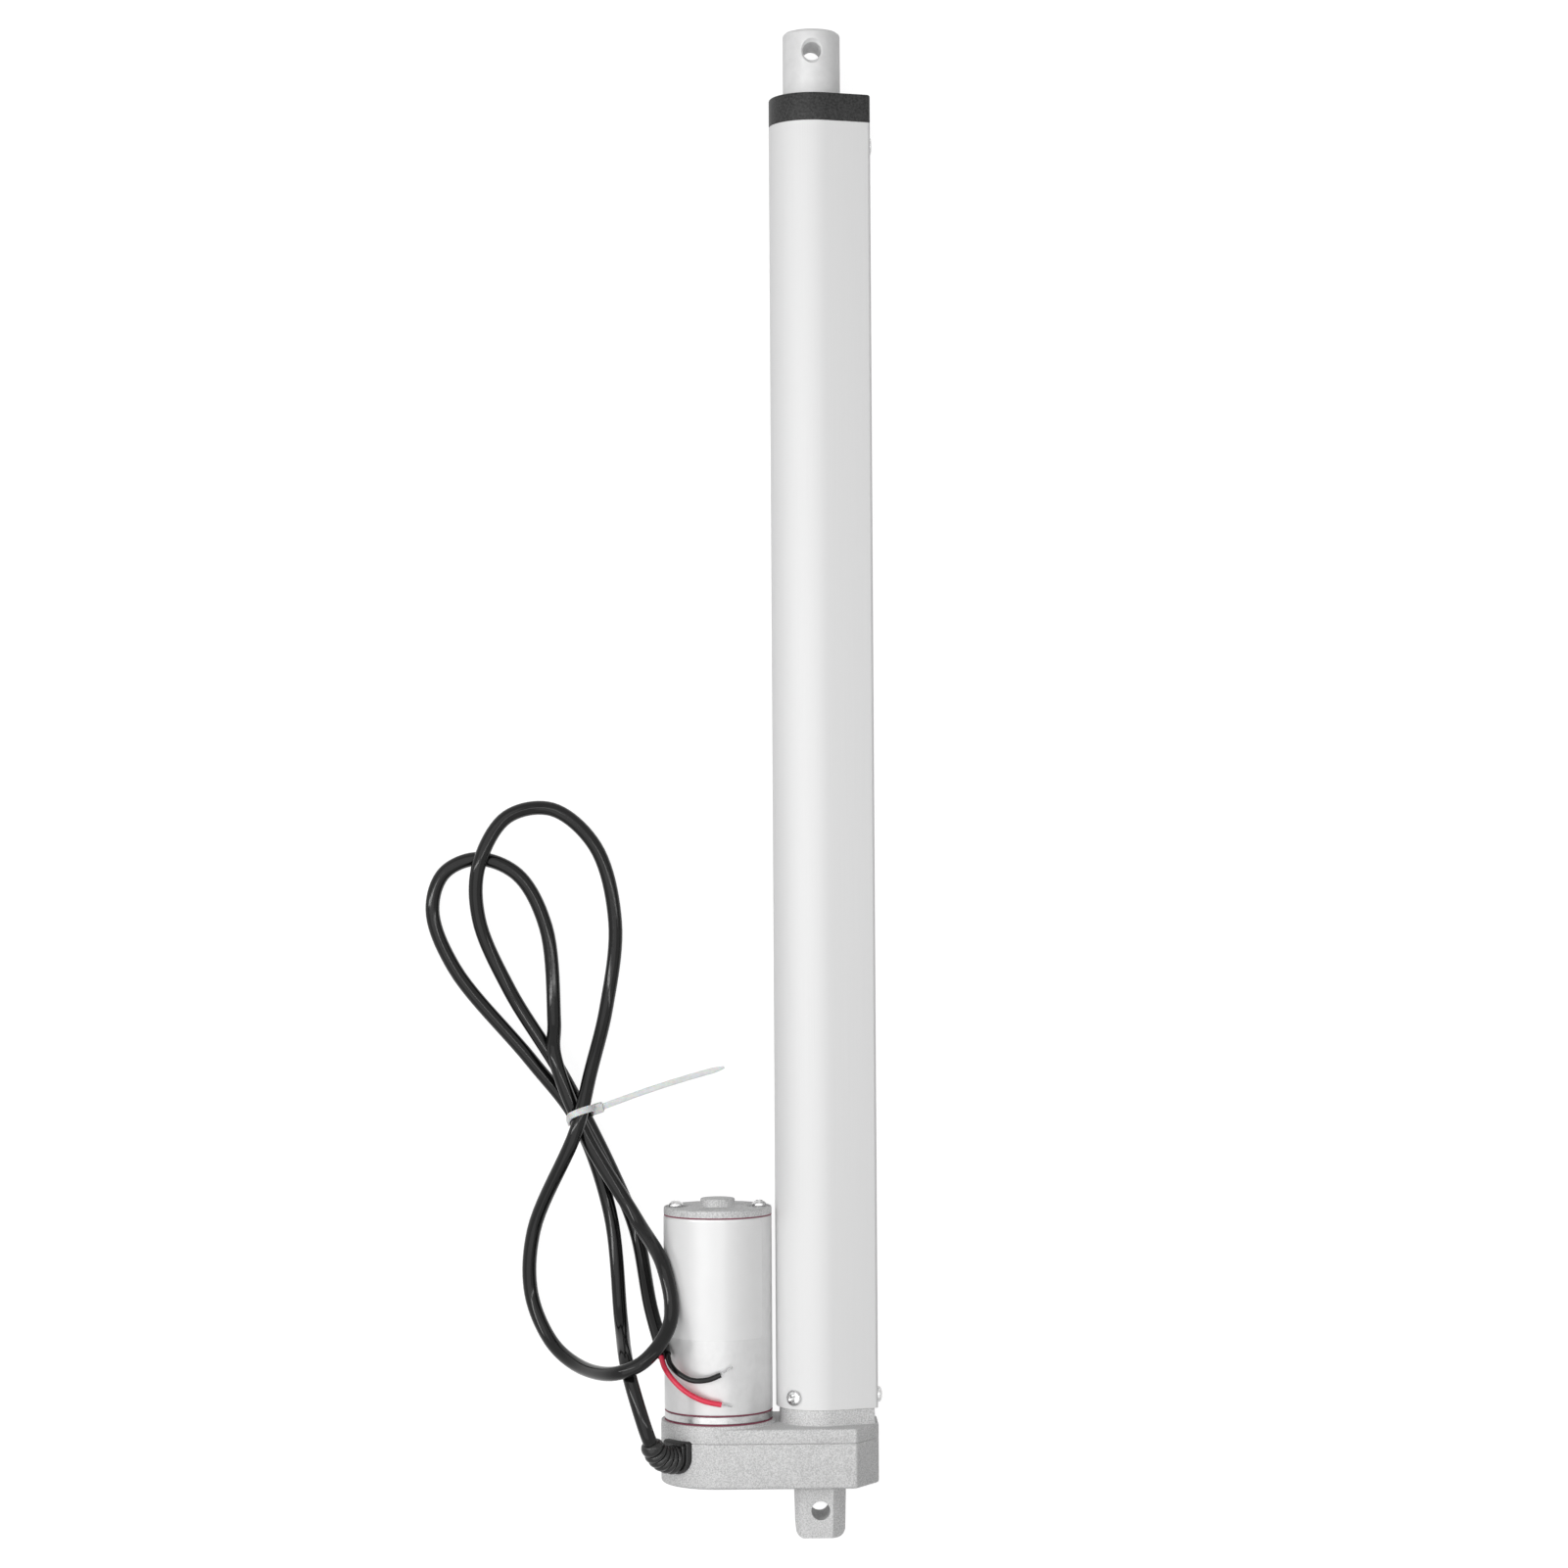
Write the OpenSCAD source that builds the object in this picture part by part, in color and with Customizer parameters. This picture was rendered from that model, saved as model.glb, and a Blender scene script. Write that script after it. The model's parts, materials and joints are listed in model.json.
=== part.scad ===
// Linear actuator: a DC motor beside a long tube drives a screw through two gear
// stages, and a nut on the screw pushes the rod out of the tube's front cap.
// Millimetres. The origin is the centre of the rear pin hole, +Y runs along the
// rod towards its front end, +X points away from the motor, and +Z is the pin
// holes' direction, towards the side with the motor's label.

/* [Travel and mounting] */
// Travel of the rod
stroke = 400; // [150:10:600]
// Diameter of the pin hole in the rear lug
rear_hole_d = 6.5; // [5:0.1:7]
// Diameter of the pin hole in the rod's end
front_hole_d = 6.4; // [5:0.1:7]
// Width of the rear lug along X
lug_width = 17.3; // [16:0.1:18]
// Depth of the rear lug along Z, which is the rear pin hole's length
lug_depth = 20; // [18:0.5:22]

/* [Rod and tube] */
// Diameter of the rod
rod_d = 20; // [19.8:0.1:20.2]
// Outer radius of the tube's round side
tube_r = 15; // [15:0.1:15.5]
// Distance from the rod's axis to the tube's flat side
tube_reach = 20; // [19.8:0.1:20.5]
// Wall of the tube's round side
tube_wall = 2; // [1.8:0.1:2]
// Tilt of the two straight flanks that run to the flat side, in degrees
flank_tilt = 16.8; // [16:0.1:18]

/* [Gearbox] */
// Half of the gearbox's depth along Z
box_half = 20; // [20:0.25:21]
// Wall of the gearbox's housing and cover
box_wall = 2.5; // [2:0.1:2.5]
// Distance from the rod's axis to the gearbox's right face
box_reach = 20.2; // [20.2:0.1:21]

/* [Gears] */
// Teeth of the motor's pinion
motor_teeth = 12; // [12:1:13]
// Teeth of the idler's large wheel
wheel_teeth = 48; // [47:1:48]
// Teeth of the idler's pinion
idler_teeth = 12; // [12:1:13]
// Teeth of the gear on the lead screw
screw_teeth = 38; // [37:1:38]

/* [Motor] */
// Outer radius of the motor's can
motor_r = 18.75; // [18.5:0.05:18.8]
// Length of the motor's can
can_length = 67; // [67:1:80]

/* [Cable] */
// Diameter of the two-core cable
cable_d = 5; // [4.5:0.1:5]
// Diameter of each lead inside the cable
lead_d = 1.9; // [1.8:0.1:2.1]
// Width of the cable tie's strap
tie_width = 2.4; // [2:0.1:2.8]

/* [Hidden] */
$fn = 72;

// Stations along Y, from the rear lug to the rod's front end
lug_rear = -9.4;
box_rear = 9.2;
box_floor = 11.2;
box_split = 24.7;
box_roof = 27.6;
box_front = 29.7;
seat_front = 30.7;
tube_rear = 35.2;
spigot_front = 45;
front_hole_y = stroke + 105;
tube_front = front_hole_y - 25.1;
cap_front = tube_front + 9.7;
rod_front = front_hole_y + 7.2;
rod_joint_y = stroke + 89;

// Guide bush and wiper in the front cap, as radius, rear and front
cap_rear = stroke + 66;
bush = [11.5, stroke + 66.5, stroke + 79];
wiper = [12.25, cap_front - 3.4, cap_front - 0.8];

// The motor's stations
bell_rear = seat_front + 0.5;
bell_front = bell_rear + 2.7;
can_rear = bell_front + 0.4;
can_front = can_rear + can_length;
lid_rear = can_front + 0.4;
lid_front = lid_rear + 2.5;
boss_front = lid_front + 2.8;
can_wall = 1.4;
shaft_r = 1.5875;
bushing_r = 4;
boss_r = 6;
scallop_r = 4.5;
scallop_depth = 0.7;
tie_bolt_head = [2.5, 2.8];
bell_boss_front = 36;
core_rear = can_rear + 13.7;
core_front = can_rear + 45.7;

// Gear train: the motor's pinion drives the wheel, whose pinion drives the screw's gear
pressure_angle = 20;
fast_module = 0.5;
slow_module = 0.8;
pinion_shift = 0.35;
backlash = 0.08;
idler_x = -slow_module * (idler_teeth + screw_teeth) / 2;
motor_x = idler_x - fast_module * (motor_teeth + wheel_teeth) / 2;

// Each gear's rear and front, and what they sit on
motor_pinion_y = [21.8, 26.8];
wheel_y = [22.2, 26.2];
idler_pinion_y = [14.6, 21.9];
screw_gear_y = [15.2, 21.2];
sleeve_r = 3.6;
idler_axle_r = 2;
gear_seat_r = 4.5;
gear_pin_r = 1;
gear_pin_y = 24;
hub_r = 6.5;
hub_front = 27;

rod_r = rod_d / 2;
tube_side_wall = 1.8;
tube_inner_reach = tube_reach - tube_side_wall;
outline_corner = 1.5;
inner_corner = 0.5;
plug_gap = 0.05;
screw_head = [2.75, 1.9];
screw_shank_r = 1.45;
rod_bore_r = 8;
cable_r = cable_d / 2;
lead_r = lead_d / 2;

// Bearings: bore radius, outer radius, width, balls' circle, ball radius, balls
lower_bearing = [4, 8, 5, 6, 1.2, 7];
upper_bearing = [5, 11, 6, 8, 1.7, 8];
lower_bearing_y = 9.8;
upper_bearing_y = 37;

// The lead screw
thread_pitch = 3;
thread_r = 6;
thread_depth = 1.25;
thread_rear = 43;
thread_front = stroke + 66;
screw_rear = 10;
screw_tip_r = 3;

// The drive nut, its nose and where the rod's tube and set screws sit in it
nut_r = 12.7;
nut_rear = 47;
nut_front = 65;
nose_rear = 50;
nose_length = 10;
nose_reach = 15.8;
nose_gap = 0.35;
rod_rear = 56;
nut_screw_y = 61;
nut_screw_r = 1.2;

// The limit switches sit one stroke apart; the nut's nose stands at the lower one
switch_y = 55;
switch_gap = stroke;
board_thick = 1.6;
board_width = 15.2;
board_x = tube_inner_reach - board_thick;
plunger_x = 14.7;
plunger_z = 2.3;
plunger_r = 0.8;

// Screw places on the gearbox as [x, z], and the directions of the tube's base
// screws as turns about Y from +Z
box_screw_places = [[motor_x - 1, 14.9], [motor_x - 1, -14.9], [10, 16.2], [10, -16.2]];
post_r = 2.8;
motor_screw_places = [[motor_x + 8.84, 8.84], [motor_x - 8.84, -8.84]];
tube_screw_turns = [-36, -144];
tube_screw_y = 39.3;
side_screw_y = 38.5;
cap_screw_y = stroke + 72;
tie_bolt_offset = 14.5;
wire_hole = [14.8, 5.5];
wire_hole_r = 2;

// The cable leaves the gearbox halfway between +Z and -X
gland_turn = -45;
gland_y = 19.3;
gland_wall_r = 20.02;
gland_bend_r = 12;
gland_bend = 60;
gland_ribs = 6;
gland_neck_r = 3.95;
gland_slot_r = 4;
gland_flange_half = 6;
gland_flange_shift = 0.6;
gland_tail_z = 22.2;
gland_rib_r = 5.2;

// Route of the cable's centre line, from the gland to its free end. It drops to
// the surface, is gathered with itself by the tie and lies in loose loops, which
// cross over each other by one cable's height.
cable_route = [
    [-58.1, 25.3, 23.1], [-60.3, 31.8, 24.4], [-65.9, 49.9, 17.9], [-68.8, 63.8, -4.4],
    [-72.8, 100.5, -15.4], [-83.9, 132.6, -15.4], [-100.3, 154.3, -15.4],
    [-127.3, 187.1, -15.5], [-134.7, 207.3, -15.3], [-130.6, 220.2, -15.3],
    [-118.9, 225.2, -15.3], [-104.8, 219.6, -15.3], [-94.9, 201.1, -15.4],
    [-92, 167.9, -13.2], [-91.7, 156.6, -7.3], [-81.2, 128.9, -6.7],
    [-63.4, 99.3, -5.4], [-53.7, 84.3, 10.4], [-51.3, 66.7, 16.2], [-59.7, 54.4, 24],
    [-68.5, 50, 22.8], [-84.1, 49.3, -1.1], [-93.9, 56.7, -11.5],
    [-100.7, 72.4, -16.7], [-99.6, 94.5, -14.3], [-83.9, 130.9, -1],
    [-79.1, 150.5, -6.6], [-73.8, 172.4, -14.8], [-70.5, 202.6, -15.2],
    [-77.4, 229.4, -14.8], [-92.6, 242.5, -14.9], [-108.2, 239.8, -12],
    [-117.9, 223.1, -9.3], [-118.3, 204.1, -13.4], [-107.8, 179, -15.8],
    [-89.5, 149.8, -11.9], [-72.1, 115.6, -12.1], [-63.8, 94.2, -16.6],
    [-58.5, 68.9, -3.3], [-53.7, 54.2, 11.5]
];

// Routes of the two leads from the cable's end to where their insulation stops,
// and of their bare ends
red_route = [
    [-54.7, 53.8, 11.4], [-53.5, 50.3, 13.4], [-50.7, 46.4, 15.4],
    [-45.8, 42.3, 18], [-40, 39.6, 19.7], [-34, 38.3, 20]
];
red_bare = [[-34.3, 38.4, 20], [-30.2, 37.5, 19.5]];
black_route = [
    [-52.5, 54.6, 11.6], [-51.7, 51.8, 14], [-49.2, 49.1, 16.8],
    [-44.2, 46.7, 19.5], [-38.6, 46.9, 20.2], [-34.2, 48.5, 20]
];
black_bare = [[-34.5, 48.4, 20], [-30.1, 51.2, 19.5]];

// Route of the limit switches' wires inside the gearbox and up to the switch board
switch_wire_route = [
    [-45.7, 19.3, 10.7], [-43, 20.6, 9.4], [-37, 23, 9.6], [-29, 24.2, 12.4],
    [-20, 24.2, 15], [-8, 24.2, 15.2], [3, 24.2, 13.4], [11, 24.4, 8.8],
    [14.8, 28, 5.5], [14.8, 38, 5.5], [14.8, 48.9, 5.5]
];

// Cable tie: the strap's loop stands across the four strands at this place
tie_place = [-83.1, 136.7];
tie_turn = 25;
tie_tail_end = [-32.3, 152.1, -3];
tie_thick = 0.9;
tie_loop_width = 12.1;
tie_loop_low = -18;
tie_loop_high = 1.1;
tie_head = [4.2, 3.8, 3.8];
tie_head_y = -1.6;
tie_head_z = -6;

// ---------------------------------------------------------------- helpers

// Extrudes a profile drawn in X and Z from y0 to y1
module prism_y(y0, y1) {
    translate([0, y1, 0])
        rotate([90, 0, 0])
            linear_extrude(y1 - y0) children();
}

// Turns a profile drawn as radius and Y about an axis along Y
module turned_y(x = 0, z = 0) {
    translate([x, 0, z])
        rotate([-90, 0, 0])
            rotate_extrude() children();
}

module rod_y(r, y0, y1, x = 0, z = 0) {
    translate([x, y0, z])
        rotate([-90, 0, 0])
            cylinder(r = r, h = y1 - y0);
}

module ring_y(r_out, r_in, y0, y1, x = 0, z = 0) {
    difference() {
        rod_y(r_out, y0, y1, x, z);
        rod_y(r_in, y0 - 1, y1 + 1, x, z);
    }
}

// Points of an arc about centre c
function arc(c, r, a0, a1, steps) = [
    for (i = [0:steps])
        let (a = a0 + (a1 - a0) * i / steps)
            c + r * [cos(a), sin(a)]
];

// Involute of the base circle, in degrees
function involute(a) = tan(a) * 180 / PI - a;

function unit(v) = v / norm(v);

// Point at share t of the smooth curve from b to c, where a comes before b and d
// comes after c (a centripetal Catmull-Rom spline)
function curve_point(a, b, c, d, t) =
    let (
        ab = sqrt(norm(b - a)),
        bc = sqrt(norm(c - b)),
        cd = sqrt(norm(d - c)),
        leave = c - b + bc * ((b - a) / ab - (c - a) / (ab + bc)),
        arrive = c - b + bc * ((d - c) / cd - (d - b) / (bc + cd))
    )
        b + t * leave + t * t * (3 * (c - b) - 2 * leave - arrive)
            + t * t * t * (leave + arrive - 2 * (c - b));

// Smooth route through a route's points, in steps from each point to the next
function smooth(route, steps) =
    let (last = len(route) - 1) concat(
        [
            for (i = [0:last - 1])
                let (
                    b = route[i],
                    c = route[i + 1],
                    a = i > 0 ? route[i - 1] : 2 * b - c,
                    d = i < last - 1 ? route[i + 2] : 2 * c - b
                )
                    for (k = [0:steps - 1]) curve_point(a, b, c, d, k / steps)
        ],
        [route[last]]
    );

// Ring of points about a route's point i, square to the route there
function route_ring(route, i, r, sides) =
    let (
        last = len(route) - 1,
        along = unit(route[min(i + 1, last)] - route[max(i - 1, 0)]),
        side = unit(cross(along, [0, 0, 1])),
        up = cross(side, along)
    ) [
        for (k = [0:sides - 1])
            let (a = 360 * (k + 0.5) / sides)
                route[i] + r * (cos(a) * side + sin(a) * up)
    ];

// Cord along a route, as one closed solid
module cord(route, r, sides) {
    rings = len(route);
    points = [for (i = [0:rings - 1]) each route_ring(route, i, r, sides)];
    walls = [
        for (i = [0:rings - 2])
            for (k = [0:sides - 1])
                let (a = i * sides + k, b = i * sides + (k + 1) % sides)
                    each [[a, b, b + sides], [a, b + sides, a + sides]]
    ];
    rear = [[for (k = [sides - 1:-1:0]) k]];
    front = [[for (k = [0:sides - 1]) (rings - 1) * sides + k]];
    polyhedron(points = points, faces = concat(walls, rear, front), convexity = 10);
}

// Spur gear's outline, centred on the origin with one tooth on +X
module gear_outline(module_size, teeth, shift, backlash) {
    pitch_r = module_size * teeth / 2;
    base_r = pitch_r * cos(pressure_angle);
    tip_r = pitch_r + module_size * (1 + shift);
    root_r = pitch_r - module_size * (1.25 - shift);
    pitch_tooth = module_size * (PI / 2 + 2 * shift * tan(pressure_angle)) - backlash;
    base_half = pitch_tooth / (2 * pitch_r) * 180 / PI + involute(pressure_angle);
    start_r = max(base_r, root_r);
    flank_steps = 4;
    // Radius and half angle of the tooth at each step up its flank
    flank = [
        for (i = [0:flank_steps])
            let (r = start_r + (tip_r - start_r) * i / flank_steps)
                [r, base_half - involute(acos(min(1, base_r / r)))]
    ];
    start = root_r < start_r ? concat([[root_r, flank[0][1]]], flank) : flank;
    last = len(start) - 1;
    tooth = concat(
        [for (i = [0:last]) [start[i][0], -start[i][1]]],
        [for (i = [last:-1:0]) start[i]]
    );
    polygon([
        for (n = [0:teeth - 1])
            for (p = tooth)
                let (a = 360 * n / teeth + p[1])
                    p[0] * [cos(a), sin(a)]
    ]);
}

// Tube's outline: a round side and two straight flanks that run to a flat face at
// x = reach. inset draws it in on all sides.
module tube_outline(inset, reach, corner) {
    r = tube_r - inset;
    // The flanks stand just inside the round side where they meet it
    flank_d = r - 0.03;
    corner_x = reach - corner;
    corner_z = (flank_d - corner - corner_x * sin(flank_tilt)) / cos(flank_tilt);
    circle(r = r, $fn = 120);
    polygon(concat(
        [flank_d * [sin(flank_tilt), -cos(flank_tilt)]],
        arc([corner_x, -corner_z], corner, flank_tilt - 90, 0, 5),
        arc([corner_x, corner_z], corner, 0, 90 - flank_tilt, 5),
        [flank_d * [sin(flank_tilt), cos(flank_tilt)]]
    ));
}

// Gearbox's outline: round about the motor's axis and chamfered at the right
module box_outline(inset) {
    half = box_half - inset;
    right = box_reach - inset;
    chamfer = atan2(8, 12);
    chamfer_d = box_reach * cos(chamfer) + (box_half - 12) * sin(chamfer) - inset;
    top_x = (chamfer_d - half * sin(chamfer)) / cos(chamfer);
    right_z = (chamfer_d - right * cos(chamfer)) / sin(chamfer);
    translate([motor_x, 0]) circle(r = half, $fn = 144);
    polygon([
        [motor_x, half], [motor_x, -half], [top_x, -half],
        [right, -right_z], [right, right_z], [top_x, half]
    ]);
}

// Pan-head screw with a cross recess. Its head stands on z = 0 and points to +Z.
module pan_head_screw(shank_r, length, head_r, head_h) {
    difference() {
        union() {
            translate([0, 0, -length]) cylinder(r = shank_r, h = length + 0.2);
            rotate_extrude() polygon([
                [0, 0], [head_r, 0], [head_r, head_h * 0.45],
                [head_r * 0.8, head_h * 0.85], [head_r * 0.45, head_h], [0, head_h]
            ]);
        }
        for (a = [45, 135])
            rotate([0, 0, a])
                translate([-head_r * 0.55, -0.3, head_h * 0.45])
                    cube([head_r * 1.1, 0.6, head_h]);
    }
}

// Cap screw with a hexagon socket. Its head stands on z = 0 and points to +Z.
module cap_head_screw(shank_r, length, head_r, head_h) {
    difference() {
        union() {
            translate([0, 0, -length]) cylinder(r = shank_r, h = length + 0.2);
            cylinder(r = head_r, h = head_h);
        }
        translate([0, 0, head_h * 0.45]) cylinder(r = head_r * 0.5, h = head_h, $fn = 6);
    }
}

// Places a screw that points out of the tube at a turn about Y from +Z
module on_tube(y, turn, distance) {
    translate([0, y, 0])
        rotate([0, turn, 0])
            translate([0, 0, distance]) children();
}

// Holes for the tube's base screws, from one distance out to another
module base_screw_holes(r, r0, r1, side_r1) {
    for (turn = tube_screw_turns)
        on_tube(tube_screw_y, turn, r0) cylinder(r = r, h = r1 - r0);
    on_tube(side_screw_y, 90, r0) cylinder(r = r, h = side_r1 - r0);
}

// Shoulder of a bearing's races, as a distance from the balls' circle
function race_shoulder(bearing) = 0.6 * bearing[4];

module outer_race(bearing, y) {
    inner_r = bearing[3] + race_shoulder(bearing);
    turned_y() difference() {
        translate([inner_r, y]) square([bearing[1] - inner_r, bearing[2]]);
        translate([bearing[3], y + bearing[2] / 2]) circle(r = bearing[4] + 0.05);
    }
}

module inner_race(bearing, y) {
    outer_r = bearing[3] - race_shoulder(bearing);
    turned_y() difference() {
        translate([bearing[0], y]) square([outer_r - bearing[0], bearing[2]]);
        translate([bearing[3], y + bearing[2] / 2]) circle(r = bearing[4] + 0.05);
    }
}

module bearing_balls(bearing, y) {
    for (k = [0:bearing[5] - 1])
        rotate([0, 360 * k / bearing[5], 0])
            translate([bearing[3], y + bearing[2] / 2, 0])
                sphere(r = bearing[4], $fn = 32);
}

// ---------------------------------------------------------------- gearbox

module rear_lug() {
    half = lug_width / 2;
    deep = lug_depth / 2;
    corner = 3.5;
    edge = [4.4, 4];
    intersection() {
        prism_y(lug_rear, box_rear + 1) polygon([
            [-half + edge[0], -deep], [half - edge[0], -deep], [half, -deep + edge[1]],
            [half, deep - edge[1]], [half - edge[0], deep], [-half + edge[0], deep],
            [-half, deep - edge[1]], [-half, -deep + edge[1]]
        ]);
        translate([0, 0, -deep - 1]) linear_extrude(lug_depth + 2) polygon(concat(
            arc([-half + corner, lug_rear + corner], corner, 180, 270, 6),
            arc([half - corner, lug_rear + corner], corner, 270, 360, 6),
            [[half, box_rear + 2], [-half, box_rear + 2]]
        ));
    }
}

// Slot in the housing's wall for the gland's neck, open at the cover
module gland_slot(r) {
    translate([motor_x, 0, 0])
        rotate([0, gland_turn, 0]) {
            translate([0, gland_y, 15]) cylinder(r = r, h = 7);
            translate([-r, gland_y, 15]) cube([2 * r, box_split - gland_y + 1, 7]);
        }
}

module gearbox_housing() {
    color([0.66, 0.67, 0.68]) difference() {
        union() {
            difference() {
                prism_y(box_rear, box_split) box_outline(0);
                prism_y(box_floor, box_split + 1) box_outline(box_wall);
            }
            rear_lug();
            rod_y(lower_bearing[1] + 2, box_rear + 1, 14);
            rod_y(idler_axle_r + 2, box_rear + 1, idler_pinion_y[0] - 0.4, idler_x);
            for (p = box_screw_places)
                rod_y(post_r, box_rear + 1, box_split, p[0], p[1]);
        }
        translate([0, 0, -lug_depth / 2 - 1]) cylinder(d = rear_hole_d, h = lug_depth + 2);
        rod_y(lower_bearing[1], lower_bearing_y, 15);
        rod_y(idler_axle_r, box_rear + 1.1, 15, idler_x);
        for (p = box_screw_places) {
            rod_y(1.3, box_rear - 1, box_split + 1, p[0], p[1]);
            rod_y(2.4, box_rear - 1, box_floor + 0.2, p[0], p[1]);
        }
        gland_slot(gland_slot_r);
    }
}

module gearbox_cover() {
    color([0.68, 0.69, 0.7]) difference() {
        union() {
            difference() {
                prism_y(box_split, box_front) box_outline(0);
                prism_y(box_split - 1, box_roof) box_outline(box_wall);
            }
            rod_y(box_half - 0.1, box_front - 0.5, seat_front, motor_x);
            prism_y(box_front - 0.5, tube_rear)
                tube_outline(1.2, tube_reach - 1.2, outline_corner);
            prism_y(tube_rear - 0.5, spigot_front)
                tube_outline(tube_wall + plug_gap, tube_inner_reach - plug_gap, inner_corner);
            rod_y(idler_axle_r + 2, wheel_y[1] + 0.5, box_roof + 0.5, idler_x);
            for (p = box_screw_places)
                rod_y(post_r, box_split, box_roof + 0.5, p[0], p[1]);
        }
        rod_y(5, box_roof - 1, seat_front + 1, motor_x);
        rod_y(hub_r + 0.5, box_roof - 1, upper_bearing_y + 1);
        rod_y(upper_bearing[1], upper_bearing_y, spigot_front + 1);
        rod_y(upper_bearing[1] + 0.5, upper_bearing_y + upper_bearing[2], spigot_front - 0.9);
        rod_y(idler_axle_r, box_roof - 2, box_roof + 1, idler_x);
        for (p = box_screw_places)
            rod_y(1.25, box_split - 1, box_roof + 1, p[0], p[1]);
        for (p = motor_screw_places) {
            rod_y(1.6, box_roof - 1, seat_front + 1, p[0], p[1]);
            turned_y(p[0], p[1]) polygon([
                [0, box_roof - 0.1], [2.85, box_roof - 0.1], [1.55, box_roof + 1.3], [0, box_roof + 1.3]
            ]);
        }
        rod_y(wire_hole_r, box_roof - 1, spigot_front + 1, wire_hole[0], wire_hole[1]);
        base_screw_holes(screw_shank_r, 10, 20, 20);
    }
}

module gearbox_screws() {
    head_y = box_floor + 0.2;
    color([0.55, 0.56, 0.58])
        for (p = box_screw_places)
            translate([p[0], head_y, p[1]])
                rotate([90, 0, 0])
                    cap_head_screw(1.25, 17, 2.25, head_y - box_rear - 0.1);
}

// ---------------------------------------------------------------- tube and front cap

module outer_tube() {
    color([0.78, 0.79, 0.8]) difference() {
        prism_y(tube_rear, tube_front) tube_outline(0, tube_reach, outline_corner);
        prism_y(tube_rear - 1, tube_front + 1)
            tube_outline(tube_wall, tube_inner_reach, inner_corner);
        base_screw_holes(1.5, 12, 17, 22);
        on_tube(cap_screw_y, 90, 15) cylinder(r = 1.5, h = 7);
    }
}

module tube_screw(length) {
    pan_head_screw(screw_shank_r, length, screw_head[0], screw_head[1]);
}

module tube_screws() {
    color([0.75, 0.76, 0.77]) {
        for (turn = tube_screw_turns)
            on_tube(tube_screw_y, turn, tube_r) tube_screw(3.9);
        on_tube(side_screw_y, 90, tube_reach) tube_screw(8);
    }
}

module front_cap() {
    color([0.08, 0.08, 0.09]) difference() {
        union() {
            prism_y(tube_front, cap_front) tube_outline(0, tube_reach, outline_corner);
            prism_y(cap_rear, tube_front + 1)
                tube_outline(tube_wall + plug_gap, tube_inner_reach - plug_gap, inner_corner);
        }
        rod_y(rod_r + 0.3, cap_rear - 1, cap_front + 1);
        rod_y(bush[0], cap_rear - 1, bush[2]);
        rod_y(wiper[0], wiper[1], wiper[2]);
        on_tube(cap_screw_y, 90, bush[0] - 0.5) cylinder(r = screw_shank_r, h = 9);
    }
}

module cap_screw() {
    color([0.75, 0.76, 0.77])
        on_tube(cap_screw_y, 90, tube_reach) tube_screw(7.5);
}

module rod_guide_bush() {
    color([0.72, 0.52, 0.25]) ring_y(bush[0], rod_r + 0.05, bush[1], bush[2]);
}

module rod_wiper() {
    color([0.15, 0.15, 0.16]) ring_y(wiper[0], rod_r + 0.05, wiper[1], wiper[2]);
}

// ---------------------------------------------------------------- motor casing

module gasket(r_in, y0, y1) {
    color([0.35, 0.1, 0.12]) ring_y(motor_r - 0.05, r_in, y0, y1, motor_x);
}

module motor_base_gasket() {
    gasket(15, seat_front, bell_rear);
}

module motor_can_gasket() {
    gasket(motor_r - can_wall, bell_front, can_rear);
}

module motor_cap_gasket() {
    gasket(motor_r - can_wall, can_front, lid_rear);
}

module tie_bolt_holes(r, y0, y1) {
    for (side = [-1, 1])
        rod_y(r, y0, y1, motor_x + side * tie_bolt_offset);
}

// Ring on the bell and on the end cap that fits inside the can
module can_spigot(y0, y1) {
    ring_y(motor_r - can_wall - 0.05, motor_r - can_wall - 0.9, y0, y1, motor_x);
}

module motor_front_bell() {
    color([0.72, 0.73, 0.75]) difference() {
        union() {
            rod_y(motor_r, bell_rear, bell_front, motor_x);
            can_spigot(bell_front - 0.5, can_rear + 1.5);
            rod_y(boss_r, bell_rear, bell_boss_front, motor_x);
        }
        rod_y(bushing_r, bell_rear - 1, bell_boss_front + 1, motor_x);
        tie_bolt_holes(1.4, bell_rear + 0.4, bell_front + 1);
        for (p = motor_screw_places)
            rod_y(1.5, bell_rear - 1, bell_front + 1, p[0], p[1]);
    }
}

module motor_can() {
    color([0.8, 0.81, 0.82]) ring_y(motor_r, motor_r - can_wall, can_rear, can_front, motor_x);
}

module motor_end_cap() {
    color([0.66, 0.67, 0.68]) difference() {
        union() {
            rod_y(motor_r, lid_rear, lid_front, motor_x);
            can_spigot(can_front - 1.5, lid_rear + 0.5);
            rod_y(boss_r, can_front - 2.3, boss_front, motor_x);
        }
        rod_y(bushing_r, can_front - 3, boss_front - 1.6, motor_x);
        tie_bolt_holes(1.5, can_front - 1, lid_front + 1);
        tie_bolt_holes(scallop_r, lid_front - scallop_depth, lid_front + 1);
    }
}

// Bare label, wrapped round the can's +Z side and its left
module motor_label() {
    right_end = 53.5;
    left_end = 95;
    color([0.9, 0.9, 0.88]) intersection() {
        ring_y(motor_r + 0.1, motor_r, can_rear + 25.7, can_front - 0.8, motor_x);
        translate([motor_x, 0, 0]) prism_y(can_rear, can_front) polygon([
            [0, 0], 60 * [sin(right_end), cos(right_end)], [0, 60],
            60 * [-sin(left_end / 2), cos(left_end / 2)], 60 * [-sin(left_end), cos(left_end)]
        ]);
    }
}

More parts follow.
